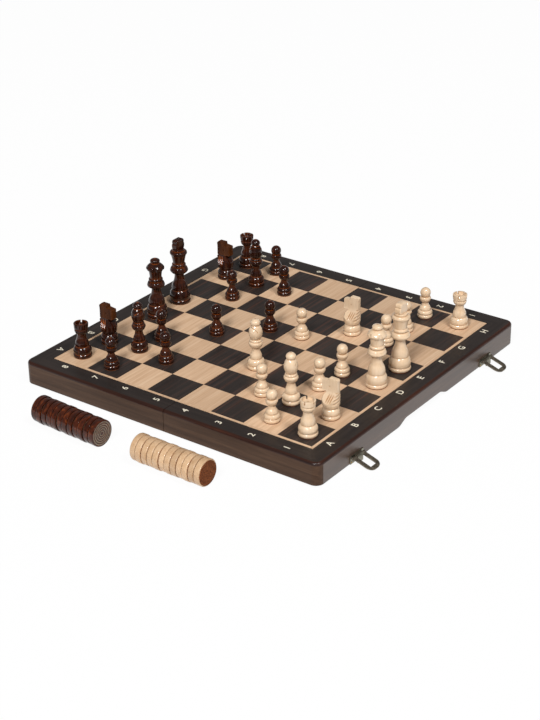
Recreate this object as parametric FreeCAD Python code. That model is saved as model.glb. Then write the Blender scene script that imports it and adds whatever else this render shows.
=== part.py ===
import FreeCAD, Part
import math
import os

V = FreeCAD.Vector
X = V(1, 0, 0)
Y = V(0, 1, 0)
Z = V(0, 0, 1)
ORIGIN = V(0, 0, 0)

# A folding board for chess and checkers, open and set out for play. Millimetres, Z up. The origin is the
# middle of the fold, on the plane of the lower rims. The light men sit at the front, towards -Y, with file a
# at -X.

# Board
BOARD_WIDTH = 381.0
LINE_WIDTH = 3.0
BORDER = 25.5
BOARD_HEIGHT = 25.4
WALL = 9.5
PANEL = 3.2
PANEL_EDGE_ROUND = 2.9
CORNER_RADIUS = 9.3
SEAM_GAP = 0.6
RIM_GAP = 0.2
STEEL = 0.5
VENEER = 0.7
VENEER_GAP = 0.06
LINING = 0.8
LINING_GAP = 0.3
NOTCH_WIDTH = 97.0
NOTCH_DEPTH = 5.3
NOTCH_RAMP = 17.0

# Hinges
HINGE_X = 110.0
HINGE_LENGTH = 30.0
LEAF = 0.9
LEAF_WIDTH = 7.5
KNUCKLE_RADIUS = 1.2
KNUCKLE_GAP = 0.3
PIN_RADIUS = 0.6
PIN_CLEARANCE = 0.05
PIN_HEAD_RADIUS = 0.95
PIN_HEAD = 0.5
MORTISE_GAP = 0.2
SCREW_SPACING = 19.0
SCREW_RADIUS = 0.9
SCREW_LENGTH = 6.5
SCREW_HEAD_RADIUS = 1.6
SCREW_HEAD = 0.45

# Latches: a loop on the front half that drops over a hook on the rear half
LATCH_X = 125.5
LATCH_PLATE = 1.0
LATCH_PLATE_WIDTH = 23.0
LATCH_PLATE_TOP = 9.0
LATCH_PLATE_BOTTOM = 0.3
LOOP_PIVOT_OUT = 3.2
LOOP_PIVOT_Z = 6.5
LOOP_BAR_RADIUS = 1.0
LOOP_BAR_CLEARANCE = 0.06
LOOP_ROOT_RADIUS = 1.6
LOOP_THICKNESS = 1.4
LOOP_LENGTH = 22.6
LOOP_WIDTH = 19.2
LOOP_END_ROUND = 7.5
SLOT_LENGTH = 18.0
SLOT_WIDTH = 9.9
CURL_RADIUS = 2.1
CURL_GAP = 0.3
TAIL_THICKNESS = 0.9
HOOK_PLATE_WIDTH = 13.0
HOOK_PLATE_HEIGHT = 9.0
HOOK_WIDTH = 7.0
HOOK_THICKNESS = 1.8
HOOK_LIP = 1.0
HOOK_LIP_RISE = 1.5
HOOK_REACH = 5.6
HOOK_GAP = 0.3
NAIL_RADIUS = 0.6
NAIL_LENGTH = 6.0
NAIL_HEAD_RADIUS = 1.1
NAIL_HEAD = 0.5
NAIL_EDGE = 2.0
FASTENER_GAP = 0.3

# Men: a felt pad and a magnet under each
FELT = 0.8
FELT_INSET = 0.7
MAGNET_RADIUS = 4.0
MAGNET_HEIGHT = 3.0
MAGNET_GAP = 0.2
DISC_TOP = 4.0
DISC_ROUND = 0.5
FOOT_GROOVE = 1.0
FOOT_SWELL = 0.3
SWELL_SHARE = 0.4
GROOVE_HEIGHT = 0.6
STEM_CREASE = 0.35
STEM_LIP = 1.2
STEM_LIP_ROUND = 0.2
STEM_BOW = 0.028
COLLAR_ROUND = 0.6
COLLAR_BOWL = 0.5
BEAD_HEIGHT = 2.2
BEAD_ROUND = 0.4
BEAD_SHARE = 0.8

# Sizes of each turned man, as radii and as heights above the board
KING = dict(base=12.0, foot=15.9, stem=9.1, neck=5.5, neck_height=35.4, collar=10.3, collar_height=39.8)
QUEEN = dict(base=11.6, foot=15.0, stem=9.1, neck=5.2, neck_height=36.0, collar=9.9, collar_height=38.6)
BISHOP = dict(base=9.5, foot=12.3, stem=6.4, neck=4.3, neck_height=24.6, collar=7.6, collar_height=29.4)
ROOK = dict(base=10.2, foot=12.9, stem=7.4, neck=4.7, neck_height=26.0, collar=7.4, collar_height=31.0)
PAWN = dict(base=8.5, foot=9.4, stem=6.3, neck=3.4, neck_height=18.6, collar=6.2, collar_height=22.9)
COLLAR = 3.4
DEEP_COLLAR = 3.6

CROWN_WAIST = 6.6
RING_RADIUS = 7.9
RING_HEIGHT = 3.8
RIM_HEIGHT = 3.8
RIM_ROUND = 0.8
FLARE_HOLLOW = 0.2
KING_RIM = 9.8
KING_FLARE = 8.6
KING_RIM_MIDDLE = 60.6
KING_CAP = 6.8
KING_HEIGHT = 77.2
CROSS_WIDTH = 13.8
CROSS_TOP_WIDTH = 12.3
CROSS_FOOT_WIDTH = 8.4
CROSS_DEPTH = 7.4
CROSS_ROOT = 1.0
CROSS_FLARE = 3.2
CROSS_NOTCH = 1.1
CROSS_NOTCH_HEIGHT = 72.0
CROSS_ROUND = 3.0
QUEEN_RIM = 10.1
QUEEN_FLARE = 7.7
QUEEN_RIM_MIDDLE = 58.6
QUEEN_DOME = 4.0
QUEEN_BUTTON = 5.5
QUEEN_BUTTON_CAP = 1.3
QUEEN_HEIGHT = 69.9
CORONET_CUTS = 5
CORONET_CUT_RADIUS = 2.4
CORONET_CUT_OUT = 0.6
MITRE_RADIUS = 7.3
MITRE_FOOT = 5.2
MITRE_HEAD = 4.5
MITRE_BASE = 34.8
MITRE_TOP = 49.8
MITRE_SLIT = 1.1
MITRE_SLIT_HEIGHT = 44.2
MITRE_SLIT_TILT = 38.0
BISHOP_BUTTON = 5.2
BISHOP_HEIGHT = 57.2
BISHOP_BUTTON_CAP = 2.0
BUTTON_FOOT = 0.8
ROOK_HEAD = 7.9
ROOK_HEAD_BASE = 33.7
ROOK_HEIGHT = 39.4
ROOK_RIM = 2.0
ROOK_DISH = 2.6
CRENELS = 5
CRENEL_WIDTH = 1.5
CRENEL_DEPTH = 3.3
PAWN_BALL = 5.85
PAWN_BALL_FOOT = 3.7
PAWN_HEIGHT = 35.5
KNIGHT_BASE = 9.6
KNIGHT_FOOT = 11.8
KNIGHT_NECK = 7.0
KNIGHT_BODY = 9.2
KNIGHT_BODY_RISE = 4.0
KNIGHT_REACH = 9.4
LIGHT_KNIGHT_DEPTH = 4.8
DARK_KNIGHT_DEPTH = 7.4
KNIGHT_HEIGHT = 45.2
KNIGHT_CREST_ROUND = 1.6
KNIGHT_MUZZLE_TOP = 41.7
KNIGHT_MUZZLE_BOTTOM = 29.8
KNIGHT_THROAT = 3.0
KNIGHT_BROW = 1.3
KNIGHT_CHEST_DROP = 11.3
KNIGHT_SHOULDER = 15.9

# Checkers
CHECKER_RADIUS = 14.3
CHECKER_THICKNESS = 7.2
CHECKER_ROUND = 0.7
CHECKER_GAP = 0.1
CHECKER_COUNT = 12
CHECKER_ROW_OUT = 55.0
CHECKER_SWAY = 0.5
SWAY_STEP = 2.4
DARK_ROW_Y = 33.7
DARK_ROW_TURN = 2.3
LIGHT_ROW_Y = -100.4
LIGHT_ROW_TURN = 0.5
GROOVE_PITCH = 2.4
GROOVE_COUNT = 5
GROOVE_WIDTH = 1.0
GROOVE_DEPTH = 0.5

# Where each man stands: kind, square, offset from the middle of the square, turn about its axis.
# Both sides' men look ahead along the files where their turn is 0.
WHITE_MEN = [
    ("rook", "a1", -3.6, -4.4, -26),
    ("knight", "b1", -3.1, -2.9, 0),
    ("queen", "d1", -2.7, -3.0, -18),
    ("king", "e1", 0.9, -3.0, 0),
    ("rook", "h1", -0.1, -2.2, -17),
    ("pawn", "a2", -1.2, -0.2, 0),
    ("bishop", "b2", -0.8, 6.0, -110),
    ("pawn", "c2", -1.1, -0.6, 0),
    ("pawn", "d2", -3.2, -2.1, 0),
    ("pawn", "f2", -0.3, -1.3, 0),
    ("pawn", "g2", -0.9, -0.9, 0),
    ("pawn", "h2", -0.4, 0.1, 0),
    ("pawn", "b3", -3.6, -0.7, 0),
    ("knight", "f3", 0.7, 1.9, 0),
    ("bishop", "c4", -0.6, -1.7, 55),
    ("pawn", "e4", 2.2, -0.3, 0),
]
BLACK_MEN = [
    ("rook", "a8", -1.3, 2.4, 0),
    ("knight", "b8", -1.4, 0.1, 0),
    ("queen", "d8", -2.6, 0.1, 0),
    ("king", "e8", 0.1, 2.6, 0),
    ("knight", "g8", -1.1, -0.7, 0),
    ("rook", "h8", -0.7, -0.9, 30),
    ("pawn", "a7", -4.6, -0.2, 0),
    ("bishop", "b7", 2.2, 1.9, 10),
    ("pawn", "c7", -4.9, -1.3, 0),
    ("pawn", "f7", -2.6, -1.4, 0),
    ("bishop", "g7", 2.5, -1.1, -50),
    ("pawn", "h7", 0.1, -1.7, 0),
    ("pawn", "b6", -3.0, 2.3, 0),
    ("pawn", "d6", -1.4, -0.7, 0),
    ("pawn", "g6", 0.3, -1.4, 0),
    ("pawn", "e5", -1.4, -1.6, 0),
]

# Worked out from the sizes above
FILES = "abcdefgh"
FIELD = BOARD_WIDTH - 2 * BORDER
SQUARE = FIELD / len(FILES)
INLAY = FIELD + 2 * LINE_WIDTH
OUTER = BOARD_WIDTH
FACE = OUTER / 2
PANEL_BOTTOM = BOARD_HEIGHT - PANEL
INLAY_BOTTOM = BOARD_HEIGHT - VENEER - STEEL
AXIS_Z = -RIM_GAP / 2
FLOOR = AXIS_Z - KNUCKLE_RADIUS
LOOP_DROOP = math.degrees(math.asin((LOOP_PIVOT_Z - FLOOR - LOOP_THICKNESS / 2) / LOOP_LENGTH))
HINGE_WALL_FACE = SEAM_GAP / 2 + WALL


def box(x0, x1, y0, y1, z0, z1):
    """A block between two values on each axis."""
    return Part.makeBox(x1 - x0, y1 - y0, z1 - z0, V(x0, y0, z0))


def rod(radius, start, end):
    """A round bar from one point to another."""
    return Part.makeCylinder(radius, (end - start).Length, start, end - start)


def prism(points, direction):
    """A straight-sided outline, pushed along a direction."""
    return Part.Face(Part.makePolygon(points + points[:1])).extrude(direction)


def slab(width, depth, z0, z1, radius):
    """A block centred on Z with rounded upright edges."""
    block = box(-width / 2, width / 2, -depth / 2, depth / 2, z0, z1)
    upright = [e for e in block.Edges if abs(e.tangentAt(e.FirstParameter).z) > 0.99]
    return block.makeFillet(radius, upright)


def moved(shape, offset, turn=0):
    """A copy, turned about Z and then moved."""
    copy = shape.copy()
    copy.rotate(ORIGIN, Z, turn)
    copy.translate(offset)
    return copy


def rear(shape):
    """The rear half's copy of a piece of the front half, turned end for end."""
    return moved(shape, ORIGIN, 180)


def front_of(shape):
    """What lies on the front half's side of the seam."""
    return shape.common(box(-OUTER, OUTER, -OUTER, -SEAM_GAP / 2, -OUTER, OUTER))


def half_section(profile):
    """A face between Z and a profile. A point is (radius, height), or (radius, height, bulge) where the
    stretch that leads to it is an arc standing out from its chord by bulge, inwards if that is negative."""
    start = V(0, 0, profile[0][1])
    edges = []
    last = start
    for radius, height, *bulge in profile:
        point = V(radius, 0, height)
        if bulge:
            chord = point - last
            outwards = V(chord.z, 0, -chord.x).normalize()
            edges.append(Part.Arc(last, (last + point) / 2 + outwards * bulge[0], point).toShape())
        else:
            edges.append(Part.makeLine(last, point))
        last = point
    top = V(0, 0, last.z)
    if last.x > 0:
        edges.append(Part.makeLine(last, top))
    edges.append(Part.makeLine(top, start))
    return Part.Face(Part.Wire(edges))


def turned(profile):
    """A solid turned about Z."""
    return half_section(profile).revolve(ORIGIN, Z, 360)


def sawn(profile, depth, turn):
    """A slab of a given depth with the profile on both sides of Z, turned about Z."""
    half = half_section(profile).extrude(Y * depth)
    half.translate(-Y * depth / 2)
    return moved(half.fuse(moved(half, ORIGIN, 180)).removeSplitter(), ORIGIN, turn)


def upright_bulge(aside, rise):
    """How far an arc stands out from its chord where one of its ends runs straight up."""
    return math.hypot(aside, rise) / 2 * math.tan(math.atan2(aside, rise) / 2)


def dome_bulge(radius, height):
    """How far an arc stands out from its chord where it rises by height to meet the axis squarely."""
    chord_squared = radius**2 + height**2
    ball = chord_squared / (2 * height)
    return ball - math.sqrt(ball**2 - chord_squared / 4)


# Walls of a half: an end wall between mitred corners, two side walls and the hinge wall.
def finger_notch():
    """The shallow grip in the end wall's lower edge, with a gentle curve at each end."""
    half = NOTCH_WIDTH / 2
    flat = half - NOTCH_RAMP
    ease = NOTCH_RAMP * 0.55
    y = -FACE - WALL
    deep = NOTCH_DEPTH
    left = Part.BezierCurve()
    left.setPoles([V(-half, y, 0), V(ease - half, y, 0), V(-flat - ease, y, deep), V(-flat, y, deep)])
    right = Part.BezierCurve()
    right.setPoles([V(flat, y, deep), V(flat + ease, y, deep), V(half - ease, y, 0), V(half, y, 0)])
    top = Part.makeLine(V(-flat, y, deep), V(flat, y, deep))
    closing = [V(half, y, 0), V(half, y, -WALL), V(-half, y, -WALL), V(-half, y, 0)]
    edges = [left.toShape(), top, right.toShape()]
    edges += [Part.makeLine(a, b) for a, b in zip(closing, closing[1:])]
    return Part.Face(Part.Wire(edges)).extrude(Y * 3 * WALL)


def frame_of_walls():
    """The four outer walls of the open board as one ring, cut at the seam."""
    inside = OUTER - 2 * WALL
    ring = slab(OUTER, OUTER, 0, PANEL_BOTTOM, CORNER_RADIUS)
    ring = ring.cut(box(-inside / 2, inside / 2, -inside / 2, inside / 2, -1, BOARD_HEIGHT))
    return front_of(ring)


def mitre_wedge():
    """The wedge between the two mitre cuts, which holds the end wall."""
    return prism([V(0, 0, -1), V(-OUTER, -OUTER, -1), V(OUTER, -OUTER, -1)], Z * OUTER)


def end_wall(nail_holes):
    return frame_of_walls().common(mitre_wedge()).cut(finger_notch()).cut(Part.makeCompound(nail_holes))


def side_walls():
    return frame_of_walls().cut(mitre_wedge())


def hinge_wall():
    """The wall along the seam, with a groove and a mortise for each hinge and holes for its screws."""
    reach = FACE - WALL
    wall = box(-reach, reach, -HINGE_WALL_FACE, -SEAM_GAP / 2, 0, PANEL_BOTTOM)
    half = HINGE_LENGTH / 2 + MORTISE_GAP
    groove_end = HINGE_LENGTH / 2 + PIN_HEAD + KNUCKLE_GAP
    for x in (-HINGE_X, HINGE_X):
        axis = V(x, 0, AXIS_Z)
        wall = wall.cut(rod(KNUCKLE_RADIUS + KNUCKLE_GAP, axis - X * groove_end, axis + X * groove_end))
        wall = wall.cut(box(x - half, x + half, -LEAF_WIDTH - MORTISE_GAP, 0, -1, LEAF))
        for place in screw_places(x):
            depth = SCREW_LENGTH + FASTENER_GAP
            wall = wall.cut(rod(SCREW_RADIUS + FASTENER_GAP, place, place + Z * depth))
    return wall


# Top of a half: a panel with a rounded edge, a steel sheet let into it, and the inlaid veneer.
def top_panel():
    panel = slab(OUTER, OUTER, PANEL_BOTTOM, BOARD_HEIGHT, CORNER_RADIUS)
    rim = [e for e in panel.Edges if min(v.Z for v in e.Vertexes) > BOARD_HEIGHT - PANEL / 2]
    panel = panel.makeFillet(min(PANEL_EDGE_ROUND, PANEL * 0.95), rim)
    inlay = box(-INLAY / 2, INLAY / 2, -INLAY / 2, INLAY / 2, INLAY_BOTTOM, BOARD_HEIGHT + 1)
    return front_of(panel.cut(inlay))


def steel_sheet():
    return front_of(box(-INLAY / 2, INLAY / 2, -INLAY / 2, INLAY / 2, INLAY_BOTTOM, INLAY_BOTTOM + STEEL))


def square_centre(name):
    """The middle of a named square, on the playing surface."""
    column = FILES.index(name[0]) + 0.5 - len(FILES) / 2
    row = int(name[1]) - 0.5 - len(FILES) / 2
    return V(column * SQUARE, row * SQUARE, BOARD_HEIGHT)


def veneer(ranks, odd):
    """One colour's squares on the given ranks: a1 is dark, as is each square with an even sum of file and
    rank."""
    half = (SQUARE - VENEER_GAP) / 2
    seam = (SEAM_GAP + VENEER_GAP) / 2
    tiles = []
    for rank in ranks:
        for column, letter in enumerate(FILES):
            if (column + rank + 1) % 2 == odd:
                c = square_centre(letter + str(rank))
                low = max(c.y - half, seam) if c.y > 0 else c.y - half
                high = min(c.y + half, -seam) if c.y < 0 else c.y + half
                tiles.append(box(c.x - half, c.x + half, low, high, BOARD_HEIGHT - VENEER, BOARD_HEIGHT))
    return tiles


def border_line():
    """The light line round the field, on the front half."""
    low = BOARD_HEIGHT - VENEER
    outer = box(-INLAY / 2, INLAY / 2, -INLAY / 2, INLAY / 2, low, BOARD_HEIGHT)
    inner = box(-FIELD / 2, FIELD / 2, -FIELD / 2, FIELD / 2, low - 1, BOARD_HEIGHT + 1)
    return front_of(outer.cut(inner))


def lining():
    """The felt under the panel, inside the tray."""
    reach = FACE - WALL - LINING_GAP
    return box(-reach, reach, -reach, -HINGE_WALL_FACE - LINING_GAP, PANEL_BOTTOM - LINING, PANEL_BOTTOM)


# Hinges: a leaf let into each hinge wall's rim, and a pin through the knuckles on the fold axis.
def screw_places(x):
    """Where the screws enter one leaf of the front half, at the rim."""
    y = -(LEAF_WIDTH + KNUCKLE_RADIUS) / 2
    return [V(x - SCREW_SPACING / 2, y, 0), V(x + SCREW_SPACING / 2, y, 0)]


def hinge_leaf(x, spans):
    """One leaf of the front half with knuckles over the given stretches of its length."""
    near = -KNUCKLE_RADIUS - KNUCKLE_GAP
    leaf = box(x - HINGE_LENGTH / 2, x + HINGE_LENGTH / 2, -LEAF_WIDTH, near, 0, LEAF)
    for start, end in spans:
        leaf = leaf.fuse(box(x + start, x + end, near, 0, 0, LEAF))
        leaf = leaf.fuse(rod(KNUCKLE_RADIUS, V(x + start, 0, AXIS_Z), V(x + end, 0, AXIS_Z)))
    bore = rod(PIN_RADIUS + PIN_CLEARANCE, V(x - HINGE_LENGTH, 0, AXIS_Z), V(x + HINGE_LENGTH, 0, AXIS_Z))
    leaf = leaf.cut(bore)
    for place in screw_places(x):
        leaf = leaf.cut(rod(SCREW_RADIUS + FASTENER_GAP, place, place + Z * LEAF))
        leaf = leaf.cut(rod(SCREW_HEAD_RADIUS + FASTENER_GAP, place, place + Z * SCREW_HEAD))
    return leaf.removeSplitter()


def knuckle_spans():
    """The outer two stretches of a hinge, and the middle one between running gaps."""
    end = HINGE_LENGTH / 2
    middle = HINGE_LENGTH / 6
    outer = [(-end, -middle - KNUCKLE_GAP / 2), (middle + KNUCKLE_GAP / 2, end)]
    return outer, [(-middle + KNUCKLE_GAP / 2, middle - KNUCKLE_GAP / 2)]


def hinge_pin(x):
    """A pin with a peened head at each end, bearing on the outer knuckles."""
    end = HINGE_LENGTH / 2
    tip = end + PIN_HEAD
    pin = rod(PIN_RADIUS, V(x - end, 0, AXIS_Z), V(x + end, 0, AXIS_Z))
    for side in (-1, 1):
        pin = pin.fuse(rod(PIN_HEAD_RADIUS, V(x + side * end, 0, AXIS_Z), V(x + side * tip, 0, AXIS_Z)))
    return pin


def screw(place):
    """A flat-headed screw, flush with the leaf's outer face."""
    head = rod(SCREW_HEAD_RADIUS, place, place + Z * SCREW_HEAD)
    return head.fuse(rod(SCREW_RADIUS, place, place + Z * SCREW_LENGTH))


# Latches: a plate curled round the loop's root bar on the front half, a hook on the rear half.
def out_from_wall(distance):
    """The Y of a point in front of the front end wall."""
    return -FACE - distance


def plate_nail_places(x):
    """Where nails enter the front end wall through a latch plate."""
    reach = LATCH_PLATE_WIDTH / 2 - NAIL_EDGE
    return [V(x + side * reach, -FACE, LATCH_PLATE_BOTTOM + NAIL_EDGE) for side in (-1, 1)]


def hook_nail_places(x):
    """Where nails enter through a hook plate, on the front end wall's mirror place."""
    reach = HOOK_PLATE_WIDTH / 2 - NAIL_EDGE
    return [V(x + side * reach, -FACE, hook_plate_bottom() + NAIL_EDGE) for side in (-1, 1)]


def nail_hole(place):
    deep = NAIL_LENGTH + FASTENER_GAP
    return rod(NAIL_RADIUS + FASTENER_GAP, place - Y * LATCH_PLATE * 2, place + Y * deep)


def nail(place):
    """A nail whose domed head bears on a latch or hook plate."""
    head = turned([(NAIL_HEAD_RADIUS, 0), (0, NAIL_HEAD, dome_bulge(NAIL_HEAD_RADIUS, NAIL_HEAD))])
    head.rotate(ORIGIN, X, 90)
    seat = place - Y * LATCH_PLATE
    head.translate(seat)
    return head.fuse(rod(NAIL_RADIUS, seat, place + Y * NAIL_LENGTH))


def latch_plate(x):
    """A plate on the wall, curled over the loop's bar, with its tail hanging down in front as a tab."""
    half = (SLOT_WIDTH - 2 * CURL_GAP) / 2
    wide = LATCH_PLATE_WIDTH / 2
    axis = V(0, out_from_wall(LOOP_PIVOT_OUT), LOOP_PIVOT_Z)
    wall_side = out_from_wall(0)
    plate = box(-wide, wide, out_from_wall(LATCH_PLATE), wall_side, LATCH_PLATE_BOTTOM, LATCH_PLATE_TOP)
    curl = rod(CURL_RADIUS, axis - X * half, axis + X * half)
    top = LOOP_PIVOT_Z + CURL_RADIUS
    web = box(-half, half, axis.y, wall_side, top - LATCH_PLATE, top)
    front = axis.y - CURL_RADIUS
    tail = box(-half, half, front, front + TAIL_THICKNESS, LATCH_PLATE_BOTTOM, LOOP_PIVOT_Z)
    bore = rod(LOOP_BAR_RADIUS + LOOP_BAR_CLEARANCE, axis - X * wide, axis + X * wide)
    whole = plate.fuse([curl, web, tail]).cut(bore).removeSplitter()
    whole.translate(X * x)
    return whole.cut(Part.makeCompound([nail_hole(p) for p in plate_nail_places(x)]))


def latch_loop(x):
    """A stamped loop: two arms, a rounded end, and a round root bar that turns in the plate's curl."""
    wide = LOOP_WIDTH / 2
    slot = SLOT_WIDTH / 2
    half = LOOP_THICKNESS / 2
    body = box(-wide, wide, -LOOP_LENGTH, 0, -half, half)
    corners = [e for e in body.Edges if abs(e.tangentAt(e.FirstParameter).z) > 0.99 and e.Vertexes[0].Y < -1]
    body = body.makeFillet(LOOP_END_ROUND, corners)
    body = body.cut(box(-slot, slot, -SLOT_LENGTH, 1, -1, 1))
    for side in (-1, 1):
        body = body.fuse(rod(LOOP_ROOT_RADIUS, X * side * slot, X * side * wide))
    body = body.fuse(rod(LOOP_BAR_RADIUS, X * -wide, X * wide)).removeSplitter()
    body.rotate(ORIGIN, X, LOOP_DROOP)
    body.translate(V(x, out_from_wall(LOOP_PIVOT_OUT), LOOP_PIVOT_Z))
    return body


def hook_seat():
    """How high above the rear rim a hook holds the end of a hanging loop's slot."""
    return SLOT_LENGTH - LOOP_PIVOT_Z - RIM_GAP - HOOK_GAP


def hook_plate_bottom():
    return hook_seat() + HOOK_LIP_RISE - HOOK_PLATE_HEIGHT


def latch_hook(x):
    """A plate with an upturned hook, drawn on the front end wall and turned round for the rear one."""
    wide = HOOK_PLATE_WIDTH / 2
    half = HOOK_WIDTH / 2
    low = hook_plate_bottom()
    seat = hook_seat()
    tip = out_from_wall(HOOK_REACH)
    plate = box(-wide, wide, out_from_wall(LATCH_PLATE), out_from_wall(0), low, low + HOOK_PLATE_HEIGHT)
    arm = box(-half, half, tip, out_from_wall(0), seat - HOOK_THICKNESS, seat)
    lip = box(-half, half, tip, tip + HOOK_LIP, seat - HOOK_THICKNESS, seat + HOOK_LIP_RISE)
    whole = plate.fuse([arm, lip]).removeSplitter()
    whole.translate(X * x)
    return whole.cut(Part.makeCompound([nail_hole(p) for p in hook_nail_places(x)]))


# Men. Each is turned in wood above its felt; heads that aren't round are cut or added afterwards.
def foot_profile(base, top, crease):
    """The base disc, a groove and the swollen foot, which rounds over into a crease at its top."""
    groove = DISC_TOP + GROOVE_HEIGHT
    swell = DISC_TOP + (top - DISC_TOP) * SWELL_SHARE
    wide = base - FOOT_SWELL
    return [
        (base - DISC_ROUND, FELT),
        (base - DISC_ROUND, DISC_TOP, DISC_ROUND),
        (base - FOOT_GROOVE, groove),
        (wide, swell, upright_bulge(FOOT_GROOVE - FOOT_SWELL, swell - groove)),
        (crease, top, upright_bulge(wide - crease, top - swell)),
    ]


def stem_profile(base, foot, stem, neck, neck_height, collar, collar_height, thickness=COLLAR):
    """Foot, bell-shaped stem and collar with a bowl-shaped underside, which all but the knight have."""
    lip = foot + STEM_LIP
    bow = STEM_BOW * (neck_height - lip)
    rim = collar - COLLAR_ROUND
    return foot_profile(base, foot, stem - STEM_CREASE) + [
        (stem, lip, STEM_LIP_ROUND),
        ((stem + neck) / 2, (lip + neck_height) / 2, bow),
        (neck, neck_height, -bow),
        (rim, collar_height - thickness / 2, COLLAR_BOWL),
        (rim, collar_height + thickness / 2, COLLAR_ROUND),
    ]


def bead_profile(collar, collar_height):
    """The bead on a tall man's collar."""
    radius = collar * BEAD_SHARE
    foot = collar_height + COLLAR / 2 + GROOVE_HEIGHT
    return [(radius, foot), (radius - BEAD_ROUND / 2, foot + BEAD_HEIGHT, BEAD_ROUND)]


def crown_profile(man, flare, rim, rim_middle):
    """The collar's sloping shoulder, the ring and the flared crown that the king and the queen share."""
    shoulder = man["collar_height"] + COLLAR / 2 + BEAD_HEIGHT
    ring_foot = shoulder + GROOVE_HEIGHT
    ring_top = ring_foot + RING_HEIGHT
    edge = rim - RIM_ROUND
    rim_foot = rim_middle - RIM_HEIGHT / 2
    return [
        (RING_RADIUS, shoulder, BEAD_ROUND),
        (CROWN_WAIST, ring_foot),
        (CROWN_WAIST, ring_top, RING_RADIUS - CROWN_WAIST),
        (CROWN_WAIST, ring_top + GROOVE_HEIGHT),
        (flare, rim_foot - GROOVE_HEIGHT, -FLARE_HOLLOW),
        (edge, rim_foot),
        (edge, rim_middle + RIM_HEIGHT / 2, RIM_ROUND),
    ]


def button_profile(radius, foot, cap, top):
    """A flattened button, from its foot to its domed cap on the axis."""
    edge = radius * BUTTON_FOOT
    return [(edge, foot), (edge, top - cap, radius - edge), (0, top, dome_bulge(edge, cap))]


def king():
    """A turned body whose cross is sawn from the front and rounded from the side."""
    cap_foot = KING_RIM_MIDDLE + RIM_HEIGHT / 2 + GROOVE_HEIGHT
    cap = cap_foot + BEAD_HEIGHT
    edge = KING_CAP - BEAD_ROUND
    profile = stem_profile(**KING) + crown_profile(KING, KING_FLARE, KING_RIM, KING_RIM_MIDDLE)
    body = turned(profile + [(edge, cap_foot), (edge, cap, BEAD_ROUND)])
    wide = CROSS_WIDTH / 2
    foot = CROSS_FOOT_WIDTH / 2
    shoulder = CROSS_TOP_WIDTH / 2
    root = cap - CROSS_ROOT
    front = [
        (foot, root),
        (wide, cap + CROSS_FLARE, upright_bulge(wide - foot, cap + CROSS_FLARE - root)),
        (wide, CROSS_NOTCH_HEIGHT - CROSS_NOTCH),
        (wide - CROSS_NOTCH, CROSS_NOTCH_HEIGHT),
        (shoulder, CROSS_NOTCH_HEIGHT + CROSS_NOTCH),
        (shoulder, KING_HEIGHT - CROSS_ROUND),
        (shoulder - CROSS_ROUND, KING_HEIGHT, upright_bulge(CROSS_ROUND, CROSS_ROUND)),
    ]
    deep = CROSS_DEPTH / 2
    ease = deep / 2
    side = [
        (deep - ease / 2, root),
        (deep, cap + ease, upright_bulge(ease / 2, cap + ease - root)),
        (deep, KING_HEIGHT - ease),
        (deep - ease, KING_HEIGHT, upright_bulge(ease, ease)),
    ]
    cross = sawn(front, CROSS_WIDTH, 0).common(sawn(side, CROSS_WIDTH * 2, 90))
    return body.fuse(cross).removeSplitter()


def queen():
    """A turned body whose domed crown has nicks filed down its rim, under a flattened button."""
    rim_top = QUEEN_RIM_MIDDLE + RIM_HEIGHT / 2
    dome = rim_top + QUEEN_DOME
    edge = QUEEN_BUTTON * BUTTON_FOOT
    body = turned(
        stem_profile(**QUEEN)
        + crown_profile(QUEEN, QUEEN_FLARE, QUEEN_RIM, QUEEN_RIM_MIDDLE)
        + [(edge, dome, BEAD_ROUND)]
        + button_profile(QUEEN_BUTTON, dome + GROOVE_HEIGHT / 2, QUEEN_BUTTON_CAP, QUEEN_HEIGHT)
    )
    low = QUEEN_RIM_MIDDLE - RIM_HEIGHT
    for cut in range(CORONET_CUTS):
        angle = 2 * math.pi * (cut + 0.5) / CORONET_CUTS
        place = V(math.cos(angle), math.sin(angle), 0) * (QUEEN_RIM + CORONET_CUT_OUT)
        body = body.cut(rod(CORONET_CUT_RADIUS, place + Z * low, place + Z * dome))
    return body


def bishop():
    """A turned body with a slanting slit sawn into its mitre."""
    bead = bead_profile(BISHOP["collar"], BISHOP["collar_height"])
    body = turned(
        stem_profile(**BISHOP)
        + bead
        + [
            (MITRE_FOOT, bead[-1][1] + GROOVE_HEIGHT / 2),
            (MITRE_FOOT, MITRE_BASE),
            (MITRE_HEAD, MITRE_TOP, MITRE_RADIUS - (MITRE_FOOT + MITRE_HEAD) / 2),
        ]
        + button_profile(BISHOP_BUTTON, MITRE_TOP + GROOVE_HEIGHT, BISHOP_BUTTON_CAP, BISHOP_HEIGHT)
    )
    half = MITRE_SLIT / 2
    slit = box(-MITRE_RADIUS * 2, MITRE_RADIUS * 2, 0, MITRE_RADIUS * 2, -half, half)
    slit.rotate(ORIGIN, X, MITRE_SLIT_TILT)
    slit.translate(Z * MITRE_SLIT_HEIGHT)
    return body.cut(slit)


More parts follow.
